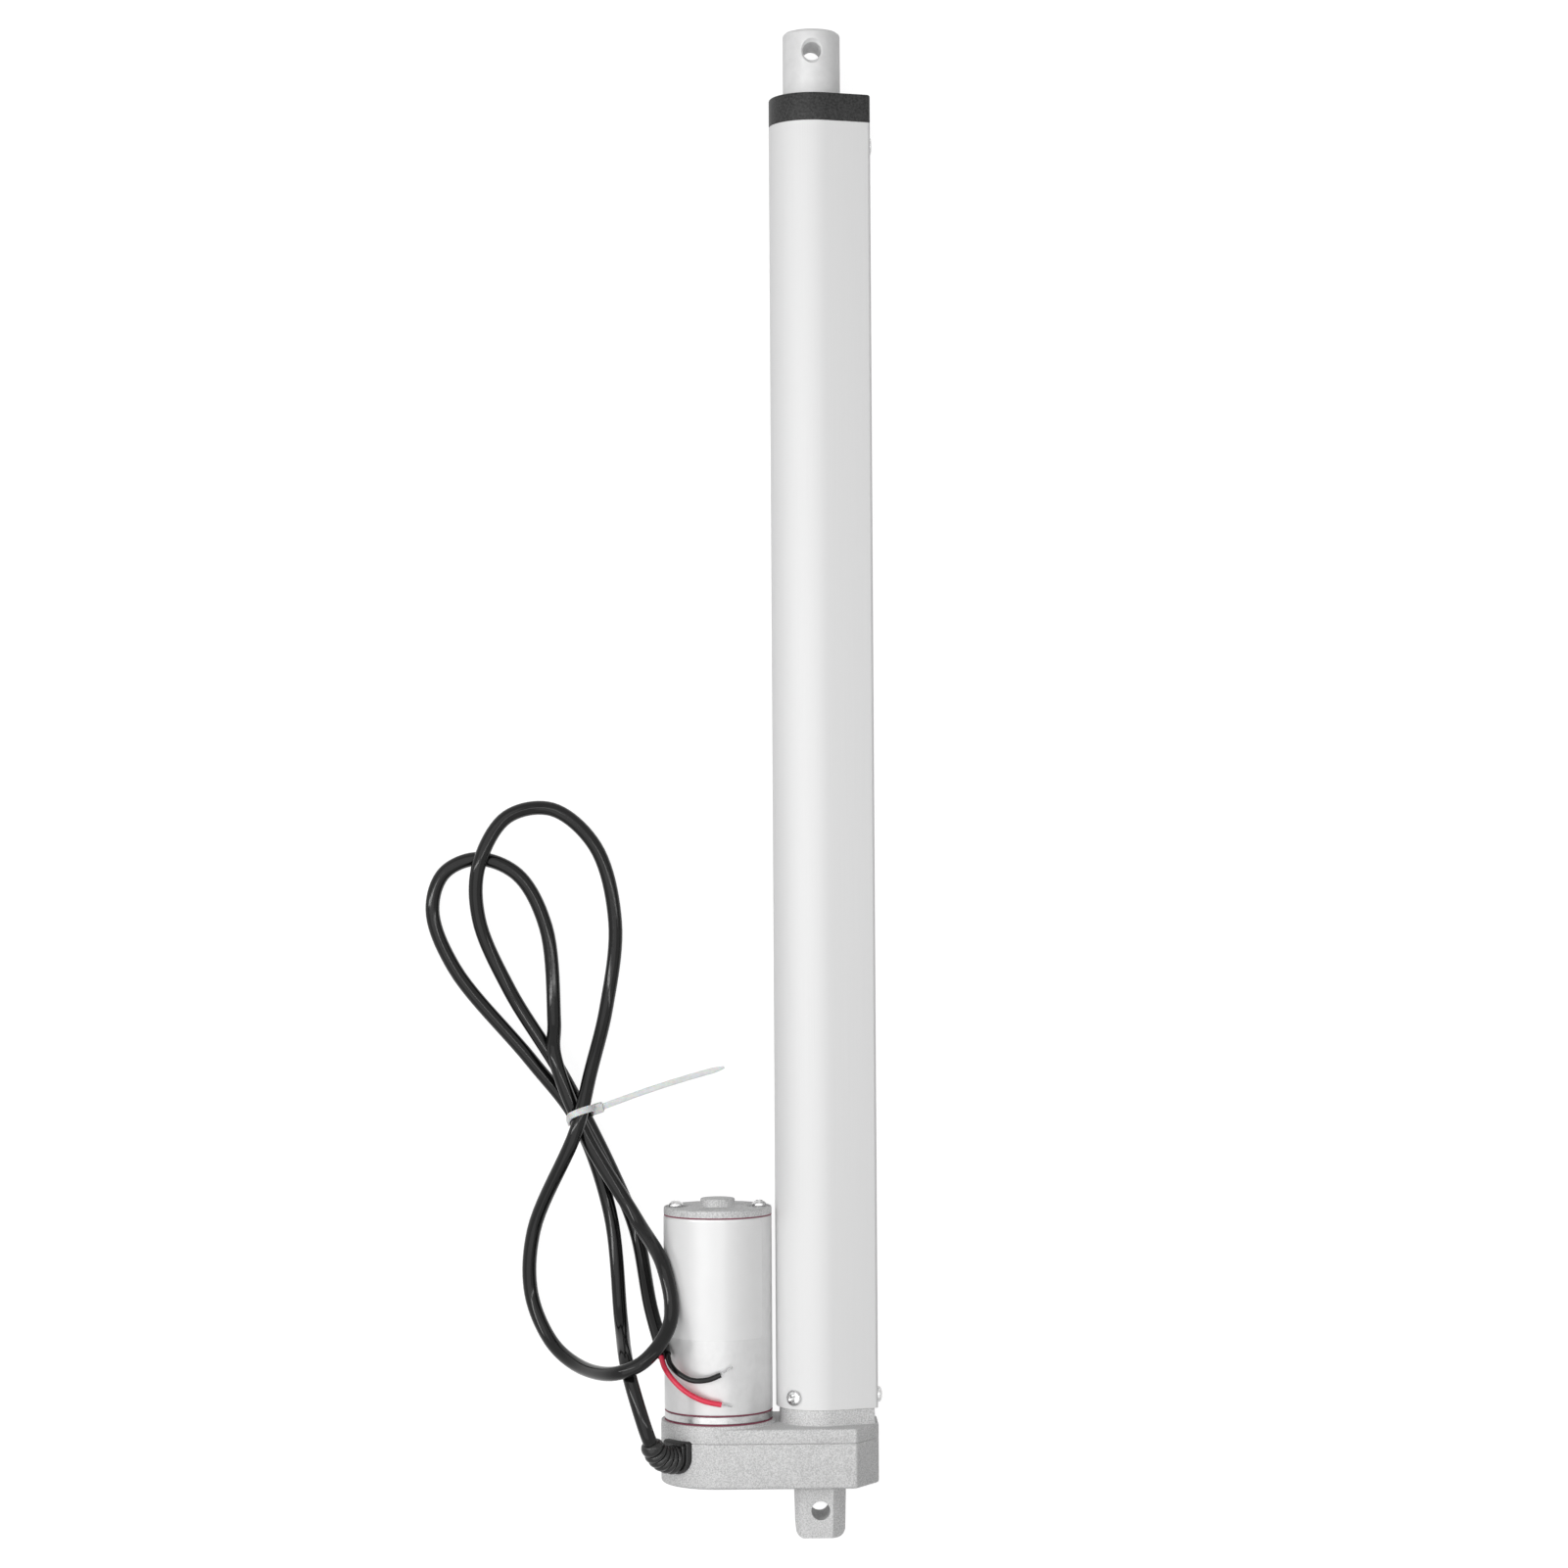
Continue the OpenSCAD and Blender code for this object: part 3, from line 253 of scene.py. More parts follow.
def cast_metal():
    """Sand-grey die casting: a fine speckle, shallow pits and rubbed edges."""
    m = shader("die_cast", grey(0.66), 0.5, 0.15, Specular_IOR_Level=0.35)
    speckle = grain(m, 0.45, 4)
    blotch = grain(m, 9, 2)
    base = tint(m, speckle, grey(0.35), grey(0.88), 0.38, 0.62)
    cloudy = tint(m, blotch, grey(0.62), grey(0.69))
    body = blend_colors(m, grain(m, 0.25, 2), base, cloudy)
    use_color(m, blend_colors(m, edge_wear(m, 0.5), body, grey(0.73)))
    use_roughness(m, speckle, 0.48, 0.66)
    use_bumps(m, (grain(m, 1.1, 3), 0.06), (speckle, 0.07))
    return m


def anodised_metal():
    """Satin anodised aluminium with faint lines along the extrusion."""
    m = shader("anodised_tube", grey(0.87), 0.5, 0.12)
    lines = grain(m, 0.3, 3, (1, 160, 1))
    fine = grain(m, 0.2, 2)
    base = tint(m, lines, grey(0.86), grey(0.89))
    cloudy = blend_colors(m, grain(m, 22, 3, (1, 3, 1)), base, grey(0.88))
    use_color(m, cloudy)
    use_roughness(m, lines, 0.58, 0.66)
    use_bumps(m, (lines, 0.002), (fine, 0.008))
    return m


def turned_alloy():
    """Machined aluminium, with fine rings left by the tool."""
    m = shader("rod_alloy", grey(0.82), 0.42, 0.15)
    rings = grain(m, 0.16, 2, (60, 1, 60))
    cloud = grain(m, 3.5, 3)
    use_color(m, tint(m, cloud, grey(0.8), grey(0.85)))
    use_roughness(m, rings, 0.5, 0.6)
    use_bumps(m, (rings, 0.005), (grain(m, 0.25, 2), 0.004))
    return m


def bright_alloy():
    """Turned ring, almost a mirror, with faint tool marks."""
    m = shader("bright_alloy", grey(0.64), 0.28, 0.9)
    rings = grain(m, 0.12, 2, (80, 1, 80))
    mottle = grain(m, 1.6, 3)
    base = tint(m, mottle, grey(0.44), grey(0.56))
    use_color(m, blend_colors(m, rings, base, grey(0.52)))
    use_roughness(m, mottle, 0.24, 0.36)
    use_bumps(m, (rings, 0.003), (mottle, 0.008))
    return m


def plated_steel():
    """Plated motor can, a little mottled, with brushed streaks along it."""
    m = shader("motor_steel", grey(0.82), 0.3, 0.25)
    speck = grain(m, 0.3, 3)
    mottle = grain(m, 2.6, 4, (1, 1.6, 1))
    base = tint(m, mottle, grey(0.75), grey(0.84))
    use_color(m, blend_colors(m, speck, base, grey(0.8)))
    use_roughness(m, mottle, 0.28, 0.38)
    use_bumps(m, (speck, 0.006), (mottle, 0.012))
    return m


def zinc_steel():
    m = shader("zinc_steel", grey(0.66), 0.22, 1.0)
    cloud = grain(m, 0.8, 4)
    body = tint(m, cloud, grey(0.48), grey(0.74))
    use_color(m, blend_colors(m, edge_wear(m, 0.15), body, (0.88, 0.88, 0.87)))
    use_roughness(m, cloud, 0.14, 0.32)
    use_bumps(m, (grain(m, 0.35, 3), 0.012))
    return m


def plain_metal(name, dark, light, rough, size=1.2):
    """Machined or drawn metal of an inner part."""
    m = shader(name, light, rough, 1.0)
    cloud = grain(m, size, 4)
    use_color(m, tint(m, cloud, dark, light))
    use_roughness(m, cloud, rough - 0.06, rough + 0.1)
    use_bumps(m, (grain(m, size / 4, 2), 0.006))
    return m


def moulded(name, dark, light, rough, size=0.5, height=0.01, **sockets):
    """Moulded plastic or rubber with a fine grain."""
    m = shader(name, light, rough, 0.0, **sockets)
    cloud = grain(m, size, 4)
    use_color(m, tint(m, cloud, dark, light))
    use_roughness(m, cloud, rough - 0.05, rough + 0.07)
    use_bumps(m, (cloud, height), (grain(m, size * 6, 2), height))
    return m


def jacket(name, dark, light, rough, shine=0.5):
    """Soft glossy sheath of a cable or a lead, with a fine grain and faint ripples."""
    m = shader(name, light, rough, 0.0, Specular_IOR_Level=shine)
    fine = grain(m, 0.3, 3)
    body = tint(m, grain(m, 4, 3), dark, light)
    dusty = tuple(min(1, c * 1.25) for c in light)
    use_color(m, blend_colors(m, fine, body, dusty))
    use_roughness(m, grain(m, 1.5, 4), rough - 0.04, rough + 0.08)
    use_bumps(m, (grain(m, 2.6, 2), 0.008), (fine, 0.003))
    return m


def label_film():
    """Bare silver film, a little uneven where it is stuck down."""
    m = shader("label_film", grey(0.88), 0.3, 0.12)
    fine = grain(m, 0.25, 3)
    cloud = grain(m, 6, 3, (1, 1.6, 1))
    base = tint(m, cloud, grey(0.86), grey(0.89))
    use_color(m, blend_colors(m, fine, base, grey(0.88)))
    use_roughness(m, cloud, 0.29, 0.34)
    use_bumps(m, (fine, 0.003), (cloud, 0.003))
    return m


def tie_nylon():
    soft = {"Subsurface_Weight": 0.35, "Subsurface_Scale": 0.0015, "Transmission_Weight": 0.15}
    m = shader("tie_nylon", (0.9, 0.9, 0.89), 0.34, **soft)
    cloud = grain(m, 1.4, 3)
    use_color(m, tint(m, cloud, (0.86, 0.86, 0.85), (0.93, 0.93, 0.925)))
    use_roughness(m, cloud, 0.3, 0.46)
    use_bumps(m, (grain(m, 0.5, 2), 0.01))
    return m


def make_materials():
    """One material for each slot of the record."""
    made = {
        "die_cast": cast_metal(),
        "anodised_tube": anodised_metal(),
        "rod_alloy": turned_alloy(),
        "bright_alloy": bright_alloy(),
        "motor_steel": plated_steel(),
        "zinc_steel": zinc_steel(),
        "label_film": label_film(),
        "tie_nylon": tie_nylon(),
        "cable_jacket": jacket("cable_jacket", grey(0.003), grey(0.006), 0.1, 0.28),
        "red_insulation": jacket("red_insulation", (0.72, 0.02, 0.06), (0.8, 0.03, 0.08), 0.3),
        "black_plastic": moulded(
            "black_plastic", grey(0.008), grey(0.05), 0.5, 0.8, 0.05, Specular_IOR_Level=0.3
        ),
        "black_rubber": moulded(
            "black_rubber", grey(0.007), grey(0.014), 0.24, 0.6, 0.03, Specular_IOR_Level=0.42
        ),
    }
    for name, *finish in (
        ("bearing_steel", grey(0.35), grey(0.6), 0.2),
        ("spring_steel", grey(0.3), grey(0.5), 0.3),
        ("core_steel", grey(0.2), grey(0.34), 0.45),
        ("copper", (0.5, 0.2, 0.09), (0.8, 0.38, 0.2), 0.3),
        ("brass", (0.62, 0.44, 0.16), (0.82, 0.62, 0.28), 0.3),
        ("bronze", (0.5, 0.33, 0.14), (0.68, 0.47, 0.23), 0.35),
        ("strands", grey(0.3), grey(0.6), 0.3, 0.3),
    ):
        made[name] = plain_metal(name, *finish)
    for name, *finish in (
        ("ferrite", grey(0.05), grey(0.09), 0.7, 0.3),
        ("red_plastic", (0.5, 0.03, 0.02), (0.6, 0.05, 0.03), 0.4),
        ("nylon", (0.7, 0.68, 0.6), (0.8, 0.78, 0.7), 0.4),
        ("phenolic", (0.28, 0.15, 0.06), (0.36, 0.2, 0.09), 0.5),
        ("circuit_board", (0.02, 0.12, 0.05), (0.03, 0.17, 0.07), 0.35),
        ("carbon", grey(0.02), grey(0.035), 0.55),
        ("gasket", (0.19, 0.04, 0.07), (0.28, 0.07, 0.11), 0.7, 0.4, 0.02),
    ):
        made[name] = moulded(name, *finish)
    return made


MATERIALS = make_materials()


# ---- mesh tools


def finish_mesh(name, mesh, slots, sharp=32):
    """Object of a bmesh, scaled to metres, with its normals, creases and slots."""
    bmesh.ops.remove_doubles(mesh, verts=mesh.verts, dist=1e-4)
    bmesh.ops.recalc_face_normals(mesh, faces=mesh.faces)
    bmesh.ops.scale(mesh, vec=(MM,) * 3, verts=mesh.verts)
    data = bpy.data.meshes.new(name)
    mesh.to_mesh(data)
    mesh.free()
    made = bpy.data.objects.new(name, data)
    SCENE.collection.objects.link(made)
    for slot in slots:
        data.materials.append(MATERIALS[slot])
    crease(made, sharp)
    return made


def crease(made, sharp=32):
    """Shades smooth, apart from edges sharper than an angle in degrees."""
    made.data.polygons.foreach_set("use_smooth", [True] * len(made.data.polygons))
    made.data.set_sharp_from_angle(angle=math.radians(sharp))


def loft(rings, closed=False, mesh=None, slot=0):
    """Skin over rings of points, capped at both ends or joined end to start."""
    mesh = mesh or bmesh.new()
    verts = [[mesh.verts.new(p) for p in ring] for ring in rings]
    count = len(verts[0])
    pairs = list(zip(verts, verts[1:]))
    if closed:
        pairs.append((verts[-1], verts[0]))
    faces = [
        mesh.faces.new((a[k], a[(k + 1) % count], b[(k + 1) % count], b[k]))
        for a, b in pairs
        for k in range(count)
    ]
    if not closed:
        faces += [mesh.faces.new(verts[0]), mesh.faces.new(verts[-1])]
    for face in faces:
        face.material_index = slot
    return mesh


def rim(y_edge, inward, radius, steps=4):
    """Insets and stations of a rounded rim whose flat face is at y_edge.

    inward is 1 where the solid lies towards +Y of the face, and -1 otherwise. The
    list runs from the flat face to the side.
    """
    if radius == 0:
        return [(0, y_edge)]
    turns = [math.pi / 2 * k / steps for k in range(steps + 1)]
    return [
        (radius * (1 - math.sin(a)), y_edge + inward * radius * (1 - math.cos(a))) for a in turns
    ]


def prism_rings(outline, y0, y1, rear=0.0, front=0.0):
    """Rings along Y of an outline, a function of its inset, with rounded rims."""
    stations = rim(y0, 1, rear) + rim(y1, -1, front)[::-1]
    return [[(x, y, z) for x, z in outline(inset)] for inset, y in stations]


def circle(r, count=96, x=0.0, z=0.0):
    """Outline of a circle as a function of its inset."""
    return lambda inset: [
        (x + (r - inset) * math.cos(a), z + (r - inset) * math.sin(a)) for a in full_turn(count)
    ]


def arc(center, r, start, end, steps):
    """Points of an arc, with its angles in radians."""
    turns = [start + (end - start) * k / steps for k in range(steps + 1)]
    return [(center[0] + r * math.cos(a), center[1] + r * math.sin(a)) for a in turns]


def turned(profile, x=0.0, z=0.0, count=96, closed=False):
    """Solid turned about an axis along Y from a profile of radius and Y."""
    rings = [[(px, y, pz) for px, pz in circle(r, count, x, z)(0)] for r, y in profile]
    return loft(rings, closed)


def turned_z(profile, count, y=0.0):
    """Rings turned about an axis along Z from a profile of Z and radius."""
    turns = full_turn(count)
    return [[(r * math.cos(a), y + r * math.sin(a), z) for a in turns] for z, r in profile]


def tube_outline(inset):
    """The tube's round side and its two flanks, which run to a flat side."""
    corner = 1.5
    r = TUBE_R - inset
    reach = TUBE_REACH - inset
    corner_r = max(corner - inset, 0.3)
    corner_x = reach - corner_r
    corner_z = (r - corner_r - corner_x * math.sin(FLANK_TILT)) / math.cos(FLANK_TILT)
    half = math.pi / 2
    return (
        arc((0, 0), r, half - FLANK_TILT, 3 * half + FLANK_TILT, 72)
        + arc((corner_x, -corner_z), corner_r, FLANK_TILT - half, 0, 6)
        + arc((corner_x, corner_z), corner_r, 0, half - FLANK_TILT, 6)
    )


def box_outline(inset):
    """The gearbox, round about the motor and chamfered at the right."""
    half = BOX_HALF - inset
    right = BOX_REACH - inset
    cut_x, cut_z = 8, 12
    tilt = math.atan2(cut_x, cut_z)
    reach = BOX_REACH * math.cos(tilt) + (BOX_HALF - cut_z) * math.sin(tilt) - inset
    top_x = (reach - half * math.sin(tilt)) / math.cos(tilt)
    right_z = (reach - right * math.cos(tilt)) / math.sin(tilt)
    soft = 1.3
    top = blunt_corner((top_x, half), soft, math.pi / 2, tilt)
    side = blunt_corner((right, right_z), soft, tilt, 0)
    upper = top + side
    lower = [(x, -z) for x, z in upper]
    back = arc((MOTOR_X, 0), half, math.pi / 2, 3 * math.pi / 2, 64)
    return back + lower + upper[::-1]


def blunt_corner(corner, r, before, after, steps=4):
    """Arc in a corner between two sides, given by their normals' angles."""
    half = (before - after) / 2
    middle = (before + after) / 2
    reach = r / math.cos(half)
    center = (corner[0] - reach * math.cos(middle), corner[1] - reach * math.sin(middle))
    return arc(center, r, before, after, steps)


def join_into(target, *others):
    """Joins objects into the first one."""
    bpy.ops.object.select_all(action="DESELECT")
    for made in (target, *others):
        made.select_set(True)
    bpy.context.view_layer.objects.active = target
    bpy.ops.object.join()
    return target


def apply_modifiers(made):
    """Turns an object's modifiers into its mesh."""
    graph = bpy.context.evaluated_depsgraph_get()
    data = bpy.data.meshes.new_from_object(made.evaluated_get(graph))
    made.modifiers.clear()
    made.data = data
    return made


def combine(made, other, operation="DIFFERENCE"):
    """Boolean with another object, which is removed."""
    cut = made.modifiers.new("cut", "BOOLEAN")
    cut.operation = operation
    cut.solver = "EXACT"
    cut.object = other
    apply_modifiers(made)
    bpy.data.objects.remove(other)
    return made


def soften(made, width, segments=3, angle=30):
    """Rounds the edges that are sharper than an angle."""
    round_off = made.modifiers.new("round", "BEVEL")
    round_off.width = width * MM
    round_off.segments = segments
    round_off.limit_method = "ANGLE"
    round_off.angle_limit = math.radians(angle)
    round_off.use_clamp_overlap = True
    apply_modifiers(made)
    crease(made, 40)
    return made


def place(made, body, slot, *nodes):
    """Rides a finished piece on its body, in place of CAD nodes."""
    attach(made, body)
    if nodes:
        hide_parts(*nodes)
    return made


# ---- camera


def make_camera():
    """High above the actuator, looking almost straight down."""
    data = bpy.data.cameras.new("camera")
    data.lens = 81.93
    data.sensor_width = 36
    data.clip_start = 0.01
    data.clip_end = 100
    camera = bpy.data.objects.new("camera", data)
    SCENE.collection.objects.link(camera)
    camera.location = (-0.03426, 0.23044, 1.24283)
    camera.rotation_mode = "ZYX"
    camera.rotation_euler = (0.0163, -0.0187, -0.0057)
    SCENE.camera = camera


# ---- cable and leads


def frames_along(line):
    """Point, side and up vector at each point of a line, turned as little as can be."""
    first = (line[1] - line[0]).normalized()
    side = min((Vector((1, 0, 0)), Vector((0, 0, 1))), key=lambda axis: abs(axis.dot(first)))
    found = []
    for i, point in enumerate(line):
        along = (line[min(i + 1, len(line) - 1)] - line[max(i - 1, 0)]).normalized()
        side = (side - along * side.dot(along)).normalized()
        found.append((point, side, along.cross(side)))
    return found


def tube_along(line, radius, sides, mesh=None, slot=0):
    """Round skin along a line, where radius is a number or one for each point."""
    radii = radius if isinstance(radius, list) else [radius] * len(line)
    rings = [
        [point + r * (math.cos(a) * side + math.sin(a) * up) for a in full_turn(sides)]
        for (point, side, up), r in zip(frames_along(line), radii)
    ]
    return loft(rings, False, mesh, slot)


def make_cable():
    """The two-core cable, a curve with its own round bevel."""
    line = smooth_route(CABLE_ROUTE, 10)
    data = bpy.data.curves.new("cable_sheath", "CURVE")
    data.dimensions = "3D"
    data.bevel_depth = CABLE_D / 2 * MM
    data.bevel_resolution = 6
    data.use_fill_caps = True
    spline = data.splines.new("POLY")
    spline.points.add(len(line) - 1)
    for point, target in zip(spline.points, line):
        point.co = (*(target * MM), 1)
    spline.use_smooth = True
    data.materials.append(MATERIALS["cable_jacket"])
    made = bpy.data.objects.new("cable_sheath", data)
    SCENE.collection.objects.link(made)
    place(made, "housing", "cable_jacket", "cable")
    return made, line


def make_lead(name, route, bare, slot, seed):
    """A lead's insulation with a cut end, and the twisted strands that stick out."""
    line = smooth_route(route, 6)
    r = LEAD_D / 2
    radii = [r] * len(line)
    radii[-1] = r * 0.93
    mesh = tube_along(line, radii, 20)
    start, end = (Vector(p) for p in bare)
    along = (end - start).normalized()
    side = along.cross(Vector((0, 0, 1))).normalized()
    up = side.cross(along)
    draw = random.Random(seed)
    strand_r, gap, twist, steps = 0.085, 0.15, 5.0, 12
    for k, first in enumerate(full_turn(7)):
        reach = (end - start).length * draw.uniform(0.86, 1.0)
        fray = draw.uniform(0.0, 0.12)
        points = []
        for step in range(steps + 1):
            t = step / steps
            turn = first + twist * t
            off = 0.0 if k == 0 else gap + fray * t * t
            away = off * (math.cos(turn) * side + math.sin(turn) * up)
            points.append(start + along * (reach * t) + away)
        tube_along(points, strand_r, 8, mesh, 1)
    made = finish_mesh(name, mesh, [slot, "strands"], 40)
    return made, [*line, end]


def make_cords(gland, tie):
    """The cable, held by its strain relief and the tie, and the leads at its end."""
    cable, cable_line = make_cable()
    for name, node, route, bare, slot, seed in (
        ("lead_red", "red_lead", RED_ROUTE, RED_BARE, "red_insulation", 3),
        ("lead_black", "black_lead", BLACK_ROUTE, BLACK_BARE, "cable_jacket", 5),
    ):
        lead, line = make_lead(name, route, bare, slot, seed)
        place(lead, "housing", slot, node)


# ---- strain relief

GLAND_Y = 19.3
GLAND_TAIL_Z = 22.2
GLAND_BEND_R = 12.0
GLAND_HALF = 6.0
# The flange's three steps: height along the relief's axis, and inset
GLAND_STEPS = [
    (19.0, 0), (20.8, 0), (21.2, 0.15), (21.35, 0.5), (21.4, 1.15), (21.95, 1.2),
    (22.25, 1.35), (22.35, 1.7), (22.4, 2.2), (22.9, 2.25),
]


def gland_frame():
    """Turns the relief's own axes, whose Z leaves the gearbox, into the frame's."""
    return Matrix.Translation((MOTOR_X, GLAND_Y, 0)) @ Matrix.Rotation(math.radians(-45), 4, "Y")


def flange_outline(half, y_front):
    """D shape: round towards -Y and square, with blunt corners, at the cover."""
    blunt = 1.1
    corners = arc((half - blunt, y_front - blunt), blunt, 0, math.pi / 2, 5)
    left = [(-x, y) for x, y in corners[::-1]]
    return arc((0, 0.6), half, math.pi, 2 * math.pi, 28) + corners + left


def make_relief():
    """Rubber boot: a flange in three steps, a ribbed tail that bends, and a lip."""
    mesh = bmesh.new()
    lap = 0.75
    front = low("gearbox_cover").y - GLAND_Y + lap
    rings = [
        [(x, y, z) for x, y in flange_outline(GLAND_HALF - inset, front - inset * 0.8)]
        for z, inset in GLAND_STEPS
    ]
    loft(rings, False, mesh)
    line, radii = relief_tail()
    tube_along(line, radii, 40, mesh)
    bmesh.ops.transform(mesh, matrix=gland_frame(), verts=mesh.verts)
    made = finish_mesh("strain_relief_boot", mesh, ["black_rubber"], 50)
    return place(made, "housing", "black_rubber", "strain_relief")


def relief_tail():
    """Middle line and radii of the boot's tail, which bends towards +Y.

    Each rib is a rounded swelling; the last one is the longer lip round the cable.
    """
    bend, ribs, steps, lip = math.radians(64), 5, 12, 1.6
    line, radii = [Vector((0, 0, 20.5))], [4.6]
    count = round((ribs + lip) * steps)
    for k in range(count + 1):
        share = k / count
        a = share * bend
        line.append(Vector((
            0,
            GLAND_BEND_R * (1 - math.cos(a)),
            GLAND_TAIL_Z + GLAND_BEND_R * math.sin(a),
        )))
        in_lip = k - ribs * steps
        wave = k % steps / steps if in_lip < 0 else in_lip / (lip * steps)
        swell = max(0.0, math.sin(math.pi * wave)) ** 0.5
        core = 4.15 - 1.2 * share
        radii.append(core + (1.15 - 0.35 * share) * swell)
    end = line[-1]
    out = (line[-1] - line[-2]).normalized()
    line += [end + out * 0.1, end + out * 0.2]
    radii += [2.8, 2.55]
    return line, radii


# ---- cable tie

TIE_PLACE = Vector((-83.2, 134.9, -9.5))
TIE_TURN = math.radians(20)
TIE_LEAN = math.radians(10.5)
TIE_TAIL_END = Vector((-32.3, 152.1, -3.0))
TIE_WIDTH = 2.4
TIE_THICK = 0.8


def strand_outlines(line, origin, across, up, reach, grow):
    """Outlines, in a plane, of the strands of a line that cross it within reach."""
    normal = across.cross(up)
    points = []
    for a, b in zip(line, line[1:]):
        before, after = (a - origin).dot(normal), (b - origin).dot(normal)
        if before * after > 0 or before == after:
            continue
        spot = a.lerp(b, before / (before - after)) - origin
        middle = Vector((spot.dot(across), spot.dot(up)))
        if middle.length > reach:
            continue
        along = (b - a).normalized()
        lie = Vector((along.dot(across), along.dot(up)))
        slant = abs(along.dot(normal))
        lie = lie.normalized() if lie.length > 1e-6 else Vector((1, 0))
        r = CABLE_D / 2 + grow
        for a_turn in full_turn(48):
            p = middle + lie * (r / slant * math.cos(a_turn))
            p += Vector((-lie.y, lie.x)) * (r * math.sin(a_turn))
            points.append((p.x, p.y))
    return points


def hull(points):
    """Convex hull of points in a plane, anticlockwise."""
    points = sorted(points)
    chains = []
    for run in (points, points[::-1]):
        chain = []
        for p in run:
            while len(chain) > 1 and cross2(chain[-2], chain[-1], p) <= 0:
                chain.pop()
            chain.append(p)
        chains.append(chain[:-1])
    return chains[0] + chains[1]


def cross2(o, a, b):
    return (a[0] - o[0]) * (b[1] - o[1]) - (a[1] - o[1]) * (b[0] - o[0])


def rounded_outline(w, t, r, steps=4):
    """Rounded rectangle of half sizes w and t."""
    quarter = math.pi / 2
    corners = ((w - r, t - r), (r - w, t - r), (r - w, r - t), (w - r, r - t))
    return [
        p
        for k, corner in enumerate(corners)
        for p in arc(corner, r, k * quarter, (k + 1) * quarter, steps)
    ]


def strap_section(width, thick):
    """Cross-section of the strap, with rounded edges."""
    return rounded_outline(width / 2, thick / 2, thick * 0.35, 3)


def tie_loop(mesh, across, up):
    """Strap drawn tight round the strands."""
    through = up.cross(across)
    line = smooth_route(CABLE_ROUTE, 10)
    reach, gap = 16, 0.05
    outlines = []
    for edge in (-TIE_WIDTH / 2, 0, TIE_WIDTH / 2):
        origin = TIE_PLACE + through * edge
        outlines += strand_outlines(line, origin, across, up, reach, TIE_THICK / 2 + gap)
    loop = hull(outlines)
    section = strap_section(TIE_WIDTH, TIE_THICK)
    rings = []
    for i, (u, z) in enumerate(loop):
        before, after = loop[i - 1], loop[(i + 1) % len(loop)]
        along = Vector((after[0] - before[0], after[1] - before[1])).normalized()
        out = across * along.y - up * along.x
        point = TIE_PLACE + across * u + up * z
        rings.append([point + through * w + out * t for w, t in section])
    loft(rings, True, mesh)


def tie_head(mesh, start, along, side, top):
    """Block that grips the strap. Each ring has its reach and its two half sizes."""
    corner = 0.5
    head = [
        (0, 1.5, 1.5), (0.25, 1.75, 1.75), (2.4, 1.85, 1.85), (3.5, 1.75, 1.75), (3.9, 1.45, 1.4)
    ]
    rings = [
        [start + along * reach + side * a + top * b for a, b in rounded_outline(w, t, corner)]
        for reach, w, t in head
    ]
    loft(rings, False, mesh)


def tie_tail(mesh, start, along, side, top):
    """End of the strap past the head: it sags and twists a little, to a thin tip."""
    length = (TIE_TAIL_END - start).length
    steps, width, end_twist = 40, 2.05, math.radians(14)
    bow, droop = 0.6, 0.4
    point_from, narrowing = 0.9, 0.62
    thin_from, thinning = 0.97, 0.75
    rings = []
    for k in range(steps + 1):
        share = k / steps
        taper = 1.0 if share < point_from else 1 - narrowing * ((share - point_from) / 0.1) ** 1.5
        sag = bow * math.sin(math.pi * share)
        twist = end_twist * share
        point = start + along * (length * share) - top * sag * droop + side * sag
        a_side = side * math.cos(twist) + top * math.sin(twist)
        a_top = top * math.cos(twist) - side * math.sin(twist)
        thick = TIE_THICK * (1.0 if share < thin_from else thinning)
        section = strap_section(width * taper, thick)
        rings.append([point + a_side * w + a_top * t for w, t in section])
    loft(rings, False, mesh)


def make_tie():
    """Nylon tie: its loop, and on the right of that its head and its tail."""
    mesh = bmesh.new()
    across = Vector((math.cos(TIE_TURN), math.sin(TIE_TURN), 0))
    away = Vector((-math.sin(TIE_TURN), math.cos(TIE_TURN), 0))
    up = Vector((0, 0, math.cos(TIE_LEAN))) + away * math.sin(TIE_LEAN)
    tie_loop(mesh, across, up)
    head_out, head_up, head_long = 5.3, 3.6, 3.6
    start = TIE_PLACE + across * head_out + up * head_up
    along = (TIE_TAIL_END - start).normalized()
    side = Vector((0, 0, 1)).cross(along).normalized()
    top = along.cross(side)
    tie_head(mesh, start, along, side, top)
    tie_tail(mesh, start + along * head_long, along, side, top)
    made = finish_mesh("tie_strap", mesh, ["tie_nylon"], 40)
    return place(made, "housing", "tie_nylon", "cable_tie")


# ---- gearbox


def make_housing():
    """Casting with the gear space, its rounded rear edge and the lug."""
    lo, hi = low("gearbox_housing"), high("gearbox_housing")
    rear, wall, floor = 9.2, 2.5, 2
    shell = prism_rings(box_outline, rear, hi.y, 1.1, 0.4)
    inner = [[(x, y, z) for x, z in box_outline(wall)] for y in (hi.y, rear + floor)]
    made = finish_mesh("housing_casting", loft(shell + inner), ["die_cast"])
    made = combine(made, make_lug(lo.y, rear), "UNION")
    hole_r, past_lug = 3.25, 11
    hole = turned_z([(-past_lug, hole_r), (past_lug, hole_r)], 64)
    combine(made, finish_mesh("bore", loft(hole), ["die_cast"]))
    soften(made, 0.55, 3, 32)
    return place(made, "housing", "die_cast", "gearbox_housing")


